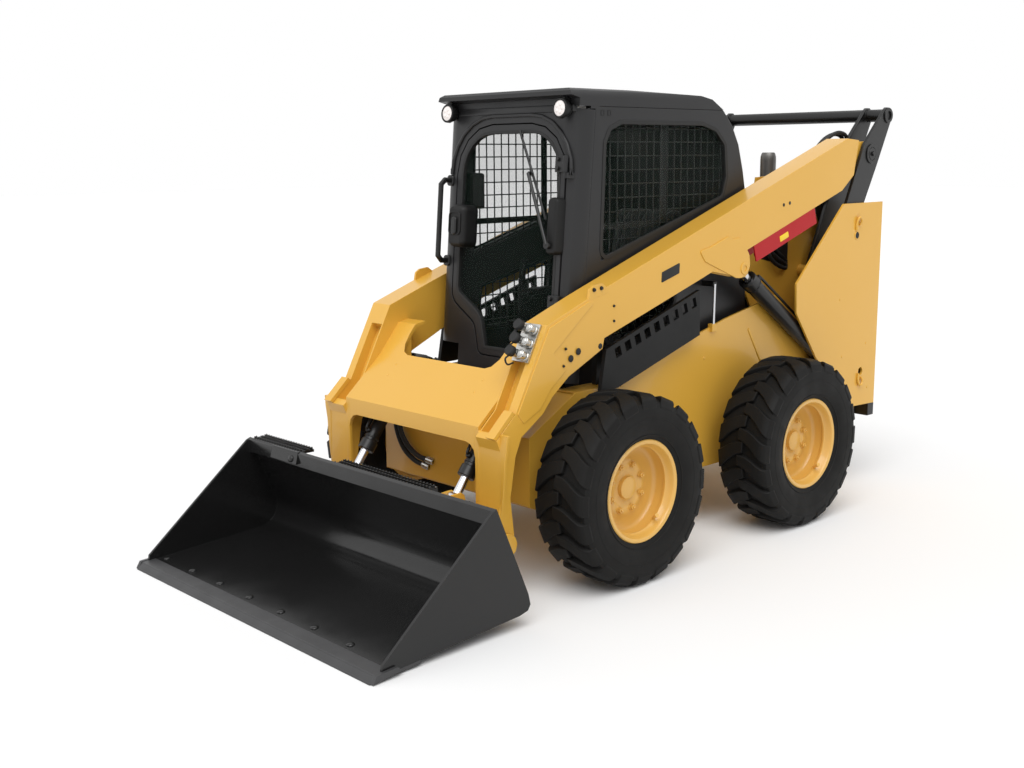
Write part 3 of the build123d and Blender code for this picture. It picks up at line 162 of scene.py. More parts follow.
@dataclass(frozen=True)
class Finish:
    """One real material with the way its surface was made.

    Attributes:
        name: Maker's plain name of the finish.
        colour: Main sRGB colour.
        shade: Colour that it drifts to in broad patches, as dust, fading or film thickness do.
        surface: How the surface was made.
        roughness: Mean microfacet roughness.
        spread: How far roughness drifts either way.
        metallic: 1 for bare metal.
        coat: Weight of a clear coat.
        grain: Size of the fine relief in millimetres.
        relief: Depth of the fine relief in millimetres.
        patch: Size of the broad patches in millimetres.
        glow: Emission strength, for lamps.
        clear: Share of light that each face of a thin pane lets straight through.
        sheen: Strength of the mirror reflection, 0.5 for common paint.
    """

    name: str
    colour: str
    shade: str
    surface: Surface
    roughness: float
    spread: float = 0.05
    metallic: float = 0.0
    coat: float = 0.0
    grain: float = 2.0
    relief: float = 0.05
    patch: float = 300.0
    glow: float = 0.0
    clear: float = 0.0
    sheen: float = 0.5

    def material(self) -> bpy.types.Material:
        """Build the material, once for each finish.

        Returns:
            The new material, or the one that was made before.
        """
        found = bpy.data.materials.get(self.name)
        if found:
            return found
        made = bpy.data.materials.new(self.name)
        made.use_nodes = True
        tree = made.node_tree
        tree.nodes.clear()
        place = add_node(tree, "ShaderNodeTexCoord").outputs["Object"]
        broad = add_node(tree, "ShaderNodeTexNoise", {
            "Vector": place, "Scale": per_metre(self.patch), "Detail": 4.0, "Roughness": 0.6})
        tint = add_node(tree, "ShaderNodeMix", {
            0: broad.outputs[0], 6: linear(self.colour), 7: linear(self.shade)}, data_type="RGBA")
        low, high = self.roughness - self.spread, self.roughness + self.spread
        rough = add_node(tree, "ShaderNodeMapRange", {
            "Value": broad.outputs[0], "From Min": 0.3, "From Max": 0.7,
            "To Min": max(low, 0.02), "To Max": min(high, 1.0)})
        shader = add_node(tree, "ShaderNodeBsdfPrincipled", {
            "Base Color": tint.outputs[2], "Roughness": rough.outputs[0], "Metallic": self.metallic,
            "Coat Weight": self.coat, "Alpha": 1 - self.clear, "Specular IOR Level": self.sheen})
        if self.relief:
            bump = add_node(tree, "ShaderNodeBump", {
                "Height": self.fine_relief(tree, place), "Strength": 0.6, "Distance": self.relief * MM})
            tree.links.new(bump.outputs[0], shader.inputs["Normal"])
        if self.coat:
            shader.inputs["Coat Roughness"].default_value = 0.08
        if self.glow:
            shader.inputs["Emission Color"].default_value = linear(self.colour)
            shader.inputs["Emission Strength"].default_value = self.glow
        if self.surface is Surface.WOVEN:
            shader.inputs["Sheen Weight"].default_value = 0.25
        add_node(tree, "ShaderNodeOutputMaterial", {"Surface": shader.outputs[0]})
        return made

    def fine_relief(self, tree: bpy.types.NodeTree, place: bpy.types.NodeSocket) -> bpy.types.NodeSocket:
        """Make the height pattern that goes with the surface.

        Args:
            tree: The material's node tree.
            place: Object coordinates, in metres.

        Returns:
            Socket of the height, from 0 to 1.
        """
        scale = per_metre(self.grain)
        if self.surface is Surface.BRUSHED:
            stretch = add_node(tree, "ShaderNodeMapping", {"Vector": place, "Scale": (0.05, 1.0, 0.05)})
            return add_node(tree, "ShaderNodeTexNoise", {
                "Vector": stretch.outputs[0], "Scale": scale, "Detail": 2.0}).outputs[0]
        if self.surface is Surface.MOULDED:
            return add_node(tree, "ShaderNodeTexVoronoi", {
                "Vector": place, "Scale": scale}, feature="SMOOTH_F1").outputs["Distance"]
        if self.surface is Surface.WOVEN:
            across = add_node(tree, "ShaderNodeTexWave", {
                "Vector": place, "Scale": scale / 6.3}, bands_direction="X")
            along = add_node(tree, "ShaderNodeTexWave", {
                "Vector": place, "Scale": scale / 6.3}, bands_direction="DIAGONAL")
            return add_node(tree, "ShaderNodeMath", {
                0: across.outputs[1], 1: along.outputs[1]}, operation="MULTIPLY").outputs[0]
        detail = {Surface.SPRAYED: 1.0, Surface.POLISHED: 1.0, Surface.ROLLED: 6.0}.get(self.surface, 4.0)
        return add_node(tree, "ShaderNodeTexNoise", {
            "Vector": place, "Scale": scale, "Detail": detail}).outputs[0]


# Alkyd enamel sprayed on steel: a warm yellow with a soft gloss and faint orange peel. The peel is
# drawn at 9 mm, coarser than the real 3 mm, so that it shows at this distance.
YELLOW = Finish("yellow_machine_enamel", "#DDAA41", "#D8A53C", Surface.SPRAYED, 0.36, 0.05,
                coat=0.25, grain=9, relief=0.05, patch=600)
# The same enamel on the wheel rims, a little paler. Its peel is drawn at 7 mm.
RIM_YELLOW = Finish("yellow_rim_enamel", "#DBAC55", "#D5A64F", Surface.SPRAYED, 0.34, 0.05,
                    coat=0.3, grain=7, relief=0.05, patch=200)
# Powder coat on the cab's pressed steel: dark grey and satin. Its fine even texture is drawn at 4 mm so
# that it shows.
CAB_GREY = Finish("dark_powder_coat", "#242425", "#202021", Surface.SPRAYED, 0.4, 0.05, sheen=0.35,
                  grain=4, relief=0.05, patch=400)
# Black enamel on the links, cylinders, hood and small fittings: half gloss, with its peel drawn at 8 mm.
BLACK = Finish("black_enamel", "#161616", "#121212", Surface.SPRAYED, 0.36, 0.06, sheen=0.35,
               coat=0.1, grain=8, relief=0.06, patch=350)
# Hot rolled plate of the bucket under thin black paint: the mill scale shows as slow drifts of gloss.
BUCKET_BLACK = Finish("painted_rolled_plate", "#1B1B1B", "#151515", Surface.ROLLED, 0.2, 0.05, sheen=0.4,
                      grain=25, relief=0.03, patch=260)
# Abrasion plate of the cutting edge: a grey paler than the bucket, painted light for its lit top face, and
# dull.
EDGE = Finish("primed_wear_plate", "#3F3F40", "#363637", Surface.ROLLED, 0.45, 0.08, sheen=0.4,
              grain=12, relief=0.05, patch=120)
# Polypropylene mouldings: black, matt, with a pebbled grain of about 2 mm.
PLASTIC = Finish("moulded_black_plastic", "#131313", "#101010", Surface.MOULDED, 0.55, 0.05, sheen=0.3,
                 grain=2.5, relief=0.06, patch=250)
# Natural rubber cured in a steel mould: near black, dull, with a bloom on the raised faces.
RUBBER = Finish("cured_tyre_rubber", "#0F0F0E", "#151413", Surface.VULCANISED, 0.62, 0.08,
                sheen=0.18, grain=6, relief=0.25, patch=90)
# EPDM seals and hose covers: softer and duller than the plastic.
SEAL = Finish("extruded_rubber", "#131313", "#171717", Surface.VULCANISED, 0.68, 0.05, grain=3, relief=0.05)
# Hard chrome on ground rod: a bright mirror with fine lengthwise grind.
CHROME = Finish("hard_chrome", "#D8D8DA", "#C9C9CC", Surface.BRUSHED, 0.12, 0.03, metallic=1.0,
                grain=1.5, relief=0.004)
# Zinc plated steel on bolts, pins and couplers: pale, a little cloudy.
ZINC = Finish("zinc_plate", "#C9C8C4", "#A9A9A6", Surface.POLISHED, 0.3, 0.08, metallic=1.0,
              grain=3, relief=0.02, patch=20)
# Bare steel of the exhaust, dulled to a warm grey by heat.
STACK = Finish("heated_steel", "#6E6C69", "#5C5A58", Surface.ROLLED, 0.45, 0.08, metallic=0.7,
               grain=4, relief=0.1, patch=60)
# Cast iron of the engine, phosphated and oily: dark, dull and sandy.
IRON = Finish("cast_iron", "#2F2F2E", "#3A3937", Surface.ROLLED, 0.6, 0.08, metallic=0.6, grain=3, relief=0.3)
# Brazed aluminium core of the coolers: pale grey with a fine lengthwise grain.
ALLOY = Finish("brazed_aluminium", "#8E9092", "#7F8183", Surface.BRUSHED, 0.4, 0.05, metallic=1.0,
               grain=3, relief=0.1)
# Red enamel on the arm brace: a deep red, flatter than the yellow.
RED = Finish("red_enamel", "#B3131A", "#A91118", Surface.SPRAYED, 0.4, 0.05, sheen=0.25, grain=8, relief=0.05)
# Vinyl of the small bare tag: a clear yellow, smooth and even.
TAG_YELLOW = Finish("yellow_vinyl", "#F5D21E", "#F0CB18", Surface.POLISHED, 0.4, 0.03, grain=4, relief=0.01)
# Tempered glass: thin, clear and smooth, with a faint green body tint that deepens with each face.
GLASS = Finish("tempered_glass", "#1B2B24", "#19271F", Surface.POLISHED, 0.03, 0.01, clear=0.87,
               sheen=0.12, relief=0)
# Polycarbonate lens over white light-emitting diodes: bright, with a pattern of small prisms.
LENS = Finish("lamp_lens", "#E9E2DF", "#CFC9C6", Surface.POLISHED, 0.12, 0.02, coat=0.4, glow=0.22,
              grain=5, relief=0.3, patch=14)
# Red acrylic of the tail lamps: deep and glossy.
RED_LENS = Finish("red_lamp_lens", "#8E1217", "#7E0F13", Surface.POLISHED, 0.15, 0.03, coat=0.5,
                  grain=6, relief=0.2)
# Woven polyester of the seat, drawn at 5 mm so that the weave shows.
CLOTH = Finish("woven_seat_cloth", "#202124", "#1A1B1D", Surface.WOVEN, 0.85, 0.05, grain=5, relief=0.4)


@dataclass
class Datum:
    """Where the machine's own axes lie in the shared frame.

    Attributes:
        rear_axle_x: X of the rear axle in the shared frame, in metres.
    """

    rear_axle_x: float

    def matrix(self) -> Matrix:
        """Matrix from machine millimetres to metres in the shared frame."""
        return Matrix.Translation((self.rear_axle_x, 0, 0)) @ Matrix.Scale(MM, 4)


def break_edges(made: bpy.types.Object, width: float, sharp: float) -> None:
    """Break an object's edges with a narrow bevel, and keep its flats flat.

    Args:
        made: Object to work on.
        width: Width of the bevel in millimetres.
        sharp: Angle over which an edge is broken, in degrees.
    """
    bevel = made.modifiers.new("edge", "BEVEL")
    bevel.width = width * MM
    bevel.segments = 2
    bevel.limit_method = "ANGLE"
    bevel.angle_limit = math.radians(sharp)
    made.modifiers.new("normals", "WEIGHTED_NORMAL").keep_sharp = True


@dataclass
class Workshop:
    """What every sub-assembly shares.

    Attributes:
        frame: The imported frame, as loaded.
        datum: Where the machine's own axes lie.
        made: Names of the pieces made so far.
    """

    frame: dict
    datum: Datum
    made: list[str] = field(default_factory=list)

    def dress(self, node: str, finish: Finish, round_edge: float = 2.5) -> None:
        """Give a carried-over node its finish and softly broken edges.

        Args:
            node: Node's name.
            finish: Its finish.
            round_edge: Width of the broken edge in millimetres, 0 for none.
        """
        found = self.frame["nodes"][node]
        found.data.materials.clear()
        found.data.materials.append(finish.material())
        found.data.shade_smooth()
        weld = found.modifiers.new("weld", "WELD")
        weld.merge_threshold = 0.02 * MM
        if round_edge:
            break_edges(found, round_edge, 40)
        else:
            found.modifiers.new("normals", "WEIGHTED_NORMAL").keep_sharp = True
        log.info("dressed %s in %s", node, finish.name)


Lift = Callable[[float, float, float], Vector]


def side_view(out: int) -> Lift:
    """Lift for outlines drawn in side view (X, Z), with heights measured out from the middle plane."""
    return lambda x, z, w: Vector((x, out * w, z))


def front_view(place: Matrix) -> Lift:
    """Lift for outlines drawn in front view (Y, Z), with heights measured forward from a place."""
    return lambda y, z, w: place @ Vector((w, y, z))


def top_view(x: float, y: float, w: float) -> Vector:
    """Lift for outlines drawn in top view (X, Y), with heights measured up from the ground."""
    return Vector((x, y, w))


def inset(points: Sequence[Point2], distance: float) -> list[Point2]:
    """Move every edge of an outline inwards, or outwards for a distance below zero.

    Args:
        points: Closed outline.
        distance: How far each edge moves.

    Returns:
        Outline with the same number of points.
    """
    count = len(points)
    area = sum(points[i - 1][0] * points[i][1] - points[i][0] * points[i - 1][1] for i in range(count))
    turn = 1 if area > 0 else -1
    made = []
    for i in range(count):
        before, corner, after = (Vector(points[k % count]) for k in (i - 1, i, i + 1))
        first, second = (corner - before).normalized(), (after - corner).normalized()
        one, two = Vector((-first.y, first.x)) * turn, Vector((-second.y, second.x)) * turn
        moved = corner + (one + two) * distance / (1 + one.dot(two))
        made.append((moved.x, moved.y))
    return made


def rounded(points: Sequence[Point2], radii: Sequence[float], steps: int = 6) -> list[Point2]:
    """Turn the corners of an outline into arcs.

    Args:
        points: Closed outline.
        radii: Radius at each corner, 0 to leave it sharp.
        steps: Straight runs in each arc.

    Returns:
        The new outline.
    """
    made = []
    for i, radius in enumerate(radii):
        before, corner, after = (Vector(points[k % len(points)]) for k in (i - 1, i, i + 1))
        if not radius:
            made.append((corner.x, corner.y))
            continue
        back, ahead = (before - corner).normalized(), (after - corner).normalized()
        half = back.angle(ahead) / 2
        centre = corner + (back + ahead).normalized() * (radius / math.sin(half))
        first, last = (corner + way * (radius / math.tan(half)) - centre for way in (back, ahead))
        begin = math.atan2(first.y, first.x)
        swing = (math.atan2(last.y, last.x) - begin + math.pi) % math.tau - math.pi
        for k in range(steps + 1):
            turn = begin + swing * k / steps
            made.append((centre.x + radius * math.cos(turn), centre.y + radius * math.sin(turn)))
    return made


def box_outline(centre: Point2, size: Point2, radius: float, steps: int = 5) -> list[Point2]:
    """Outline of a rectangle with rounded corners."""
    (u, v), (a, b) = centre, (size[0] / 2, size[1] / 2)
    return rounded([(u - a, v - b), (u + a, v - b), (u + a, v + b), (u - a, v + b)], [radius] * 4, steps)


def chord(outline: Sequence[Point2], along: int, at: float) -> Point2 | None:
    """Where a straight bar across a convex outline begins and ends.

    Args:
        outline: Convex outline.
        along: Axis that the bar runs along, 0 or 1.
        at: Bar's place on the other axis.

    Returns:
        Lowest and highest place along the bar, or None where it misses.
    """
    hits = []
    for a, b in zip(outline, list(outline[1:]) + [outline[0]]):
        near, far = a[1 - along] - at, b[1 - along] - at
        if near * far < 0:
            hits.append(a[along] + (b[along] - a[along]) * near / (near - far))
    return (min(hits), max(hits)) if len(hits) == 2 else None


def smooth_path(points: Sequence[Spot], steps: int = 8) -> list[Vector]:
    """Draw a smooth curve through a few points, for hoses and bent rod.

    Args:
        points: Points that the curve passes through.
        steps: Straight runs from one point to the next.

    Returns:
        Points along the curve.
    """
    spots = [Vector(p) for p in points]
    spots = [spots[0] * 2 - spots[1]] + spots + [spots[-1] * 2 - spots[-2]]
    made = []
    for i in range(1, len(spots) - 2):
        a, b, c, d = spots[i - 1:i + 3]
        for k in range(steps):
            t = k / steps
            made.append(0.5 * (2 * b + (c - a) * t + (2 * a - 5 * b + 4 * c - d) * t * t
                               + (3 * b - a - 3 * c + d) * t ** 3))
    return made + [spots[-2]]


def looking(at: Spot, out: Vector) -> Matrix:
    """Place at a point whose local Z looks along a direction."""
    return Matrix.Translation(at) @ out.to_track_quat("Z", "Y").to_matrix().to_4x4()


def stand(name: str, data: bpy.types.ID) -> bpy.types.Object:
    """Make an object and link it to the scene.

    Args:
        name: Object's name.
        data: Mesh, light or camera that it shows.

    Returns:
        The new object.
    """
    made = bpy.data.objects.new(name, data)
    bpy.context.scene.collection.objects.link(made)
    return made


class Form:
    """A mesh under construction, in machine millimetres."""

    def __init__(self) -> None:
        """Start an empty mesh."""
        self.bm = bmesh.new()

    def faces(self, rings: Sequence[Sequence[Vector]], closed_ring: bool = True, closed_run: bool = False,
              caps: bool = True) -> None:
        """Skin a run of rings that have the same number of points.

        Args:
            rings: Rings of points, in order.
            closed_ring: Whether each ring joins its last point to its first.
            closed_run: Whether the last ring joins the first.
            caps: Whether to close the first and last ring with a face.
        """
        rows = [[self.bm.verts.new(p) for p in ring] for ring in rings]
        count = len(rows[0])
        steps = count if closed_ring else count - 1
        runs = len(rows) if closed_run else len(rows) - 1
        for i in range(runs):
            near, far = rows[i], rows[(i + 1) % len(rows)]
            for j in range(steps):
                k = (j + 1) % count
                self.bm.faces.new((near[j], near[k], far[k], far[j]))
        if caps and not closed_run:
            self.bm.faces.new(list(reversed(rows[0])))
            self.bm.faces.new(rows[-1])

    def prism(self, outline: Sequence[Point2], y_low: float, y_high: float) -> None:
        """Add a plate drawn in side view (X, Z) between two Y planes."""
        self.faces([[Vector((x, y, z)) for x, z in outline] for y in (y_low, y_high)])

    def solid(self, outline: Sequence[Point2], depth: float, place: Matrix) -> None:
        """Add a plate drawn in the local XY plane, from local Z 0 up to depth, at a place."""
        self.faces([[place @ Vector((x, y, z)) for x, y in outline] for z in (0, depth)])

    def slab(self, centre: Spot, size: Point3, turn: Matrix | None = None) -> None:
        """Add a block.

        Args:
            centre: Middle of the block.
            size: Lengths along its own X, Y and Z.
            turn: How its own axes lie, or None for the machine's.
        """
        half = [s / 2 for s in size]
        place = Matrix.Translation(centre) @ (turn.to_4x4() if turn else Matrix())
        ring = [(-half[0], -half[1]), (half[0], -half[1]), (half[0], half[1]), (-half[0], half[1])]
        self.solid(ring, size[2], place @ Matrix.Translation((0, 0, -half[2])))

    def lathe(self, profile: Sequence[Point2], sides: int, place: Matrix, closed: bool = True) -> None:
        """Turn a profile of (radius, height) about the local Z axis.

        Args:
            profile: Points of the section; radius 0 lies on the axis.
            sides: Steps round the axis.
            place: Where the local axes lie.
            closed: Whether the section is a closed loop.
        """
        rings = []
        for i in range(sides):
            turn = math.tau * i / sides
            rings.append([place @ Vector((r * math.cos(turn), r * math.sin(turn), h)) for r, h in profile])
        self.faces(rings, closed_ring=closed, closed_run=True, caps=False)

    def tube(self, path: Sequence[Vector], radius: float, sides: int = 10) -> None:
        """Add a round bar along a path.

        Args:
            path: Points of its middle line.
            radius: Radius of the bar.
            sides: Flats round it.
        """
        rings = []
        normal = Vector((0, 0, 1))
        for i, point in enumerate(path):
            ahead = path[min(i + 1, len(path) - 1)] - path[max(i - 1, 0)]
            ahead.normalize()
            if abs(ahead.dot(normal)) > 0.95:
                normal = ahead.orthogonal()
            across = ahead.cross(normal).normalized()
            normal = across.cross(ahead).normalized()
            rings.append([point + (across * math.cos(math.tau * j / sides)
                                   + normal * math.sin(math.tau * j / sides)) * radius for j in range(sides)])
        self.faces(rings)

    def bolt(self, at: Spot, out: Vector, size: float) -> None:
        """Add a hexagon bolt head on its washer.

        Args:
            at: Centre of the seat.
            out: Direction away from the seat.
            size: Width across the head's flats.
        """
        place = looking(at, out)
        washer, head = size * 0.72, size * 0.577
        self.lathe([(0, -1), (washer, -1), (washer, size * 0.14), (0, size * 0.14)], 20, place, closed=False)
        rim = size * 0.5
        self.lathe([(0, size * 0.13), (head, size * 0.13), (head, size * 0.58), (rim, size * 0.68),
                    (0, size * 0.68)], 6, place, closed=False)

    def band(self, outer: Sequence[Point2], inner: Sequence[Point2], low: float, high: float,
             lift: Lift) -> None:
        """Add a closed band between two outlines that have the same number of points."""
        rings = ((outer, low), (outer, high), (inner, high), (inner, low))
        self.faces([[lift(u, v, w) for u, v in ring] for ring, w in rings], closed_run=True)

    def raised(self, outline: Sequence[Point2], levels: Sequence[Point2], lift: Lift) -> None:
        """Add a moulding whose outline steps inwards as it rises.

        Args:
            outline: Outline at the foot.
            levels: Inset and height of each step.
            lift: Turns outline and height into a point of the machine.
        """
        self.faces([[lift(u, v, high) for u, v in inset(outline, d)] for d, high in levels])

    def dome(self, at: Spot, out: Vector, radius: float, height: float) -> None:
        """Add a low round head, as on a carriage bolt."""
        self.lathe([(0, -1), (radius, -1), (radius, height * 0.3), (radius * 0.8, height * 0.75),
                    (radius * 0.4, height), (0, height)], 20, looking(at, out), closed=False)

    def collar(self, at: Spot, out: Vector, outer: float, inner: float, low: float, high: float) -> None:
        """Add a turned ring with broken edges about an axis."""
        cut = min(3.0, (high - low) / 4)
        self.lathe([(inner, low), (outer - cut, low), (outer, low + cut), (outer, high - cut),
                    (outer - cut, high), (inner, high)], 40, looking(at, out))

    def piece(self, shop: Workshop, name: str, finish: Finish, body: str, slot: str | None = None,
              replaces: Iterable[str] = (), round_edge: float = 0.0, sharp: float = 35.0) -> bpy.types.Object:
        """Make the object, ride it on its body and give it its finish.

        Args:
            shop: The shared workshop.
            name: Piece's name.
            finish: Its finish.
            body: Body that it rides on.
            slot: Record's material slot, if it takes one; not used.
            replaces: Nodes that it stands for.
            round_edge: Width of the broken edges in millimetres, 0 for none.
            sharp: Angle over which an edge is broken or shaded sharp, in degrees.

        Returns:
            The new object.
        """
        bmesh.ops.remove_doubles(self.bm, verts=self.bm.verts, dist=0.01)
        bmesh.ops.recalc_face_normals(self.bm, faces=self.bm.faces)
        self.bm.transform(shop.datum.matrix())
        mesh = bpy.data.meshes.new(name)
        self.bm.to_mesh(mesh)
        self.bm.free()
        made = stand(name, mesh)
        mesh.materials.append(finish.material())
        mesh.shade_smooth()
        if round_edge:
            break_edges(made, round_edge, sharp)
        else:
            mesh.set_sharp_from_angle(angle=math.radians(sharp))
        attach(made, body)
        if replaces:
            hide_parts(*replaces)
        shop.made.append(name)
        log.info("made %s on %s: %d faces", name, body, len(mesh.polygons))
        return made


@dataclass
class Assembly:
    """A sub-assembly that is built in the shared workshop.

    Attributes:
        shop: The shared workshop.
    """

    shop: Workshop


@dataclass
class Studio(Assembly):
    """Camera, lights and the pale floor.

    Attributes:
        eye: Camera's place in machine millimetres.
        yaw: Heading of the view in degrees from +X towards +Y.
        pitch: Tilt of the view above the horizon.
        roll: Turn about the view axis.
        focal_px: Focal length in pixels of the picture.
        picture_width: Width of the picture in pixels.
        floor_size: Length of the floor's sides in metres.
        key: Strength of the key light, and its angular size in degrees.
        fill: The same of the fill light.
        surround: Strength of the white surround, as light and as seen.
    """

    eye: Point3 = (5115.1, 4155.4, 1818.4)
    yaw: float = 226.665
    pitch: float = -10.467
    roll: float = -0.452
    focal_px: float = 1227.1
    picture_width: int = 1024
    floor_size: float = 120.0
    key: Point2 = (2.0, 50.0)
    fill: Point2 = (0.35, 90.0)
    surround: Point2 = (0.58, 1.0)

    def camera(self) -> None:
        """Place the camera at the photograph's viewpoint."""
        yaw, pitch, roll = (math.radians(a) for a in (self.yaw, self.pitch, self.roll))
        ahead = Vector((math.cos(yaw) * math.cos(pitch), math.sin(yaw) * math.cos(pitch), math.sin(pitch)))
        level = ahead.cross(Vector((0, 0, 1))).normalized()
        rise = level.cross(ahead)
        right = level * math.cos(roll) + rise * math.sin(roll)
        up = rise * math.cos(roll) - level * math.sin(roll)
        data = bpy.data.cameras.new("camera")
        data.sensor_width = 36.0
        data.lens = data.sensor_width * self.focal_px / self.picture_width
        data.clip_end = 500
        made = stand("camera", data)
        made.matrix_world = Matrix.Translation(self.shop.datum.matrix() @ Vector(self.eye)) @ Matrix(
            (right, up, -ahead)).transposed().to_4x4()
        bpy.context.scene.camera = made

    def light(self) -> None:
        """Soft key from the upper left front, a weak fill, and an even white surround."""
        lamps = (("key", self.key, (-0.35, -0.42, -0.84)), ("fill", self.fill, (-0.75, 0.3, -0.5)))
        for name, (power, spread), aim in lamps:
            lamp = bpy.data.lights.new(name, "SUN")
            lamp.energy = power
            lamp.angle = math.radians(spread)
            made = stand(name, lamp)
            made.rotation_mode = "QUATERNION"
            made.rotation_quaternion = Vector(aim).to_track_quat("-Z", "Y")
        world = bpy.data.worlds.new("surround")
        bpy.context.scene.world = world
        world.use_nodes = True
        tree = world.node_tree
        tree.nodes.clear()
        path = add_node(tree, "ShaderNodeLightPath")
        seen = add_node(tree, "ShaderNodeMath", {
            0: path.outputs["Is Camera Ray"], 1: path.outputs["Is Transmission Ray"]}, operation="MAXIMUM")
        seen = add_node(tree, "ShaderNodeMath", {
            0: seen.outputs[0], 1: path.outputs["Is Glossy Ray"]}, operation="MAXIMUM")
        strength = add_node(tree, "ShaderNodeMapRange", {
            "Value": seen.outputs[0], "To Min": self.surround[0], "To Max": self.surround[1]})
        back = add_node(tree, "ShaderNodeBackground", {
            "Color": linear("#FFFFFF"), "Strength": strength.outputs[0]})
        add_node(tree, "ShaderNodeOutputWorld", {"Surface": back.outputs[0]})

    def floor(self) -> None:
        """Lay a plain white floor under the machine."""
        form = bmesh.new()
        half = self.floor_size / 2
        form.faces.new([form.verts.new(p) for p in (
            (-half, -half, 0), (half, -half, 0), (half, half, 0), (-half, half, 0))])
        mesh = bpy.data.meshes.new("floor")
        form.to_mesh(mesh)
        form.free()
        made = stand("floor", mesh)
        paper = bpy.data.materials.new("white_sweep")
        paper.use_nodes = True
        shader = paper.node_tree.nodes["Principled BSDF"]
        shader.inputs["Base Color"].default_value = linear("#F4F4F4")
        shader.inputs["Roughness"].default_value = 0.9
        mesh.materials.append(paper)

    def build(self) -> None:
        """Set the whole stage."""
        self.camera()
        self.light()
        self.floor()
        bpy.context.scene.view_settings.view_transform = "Standard"


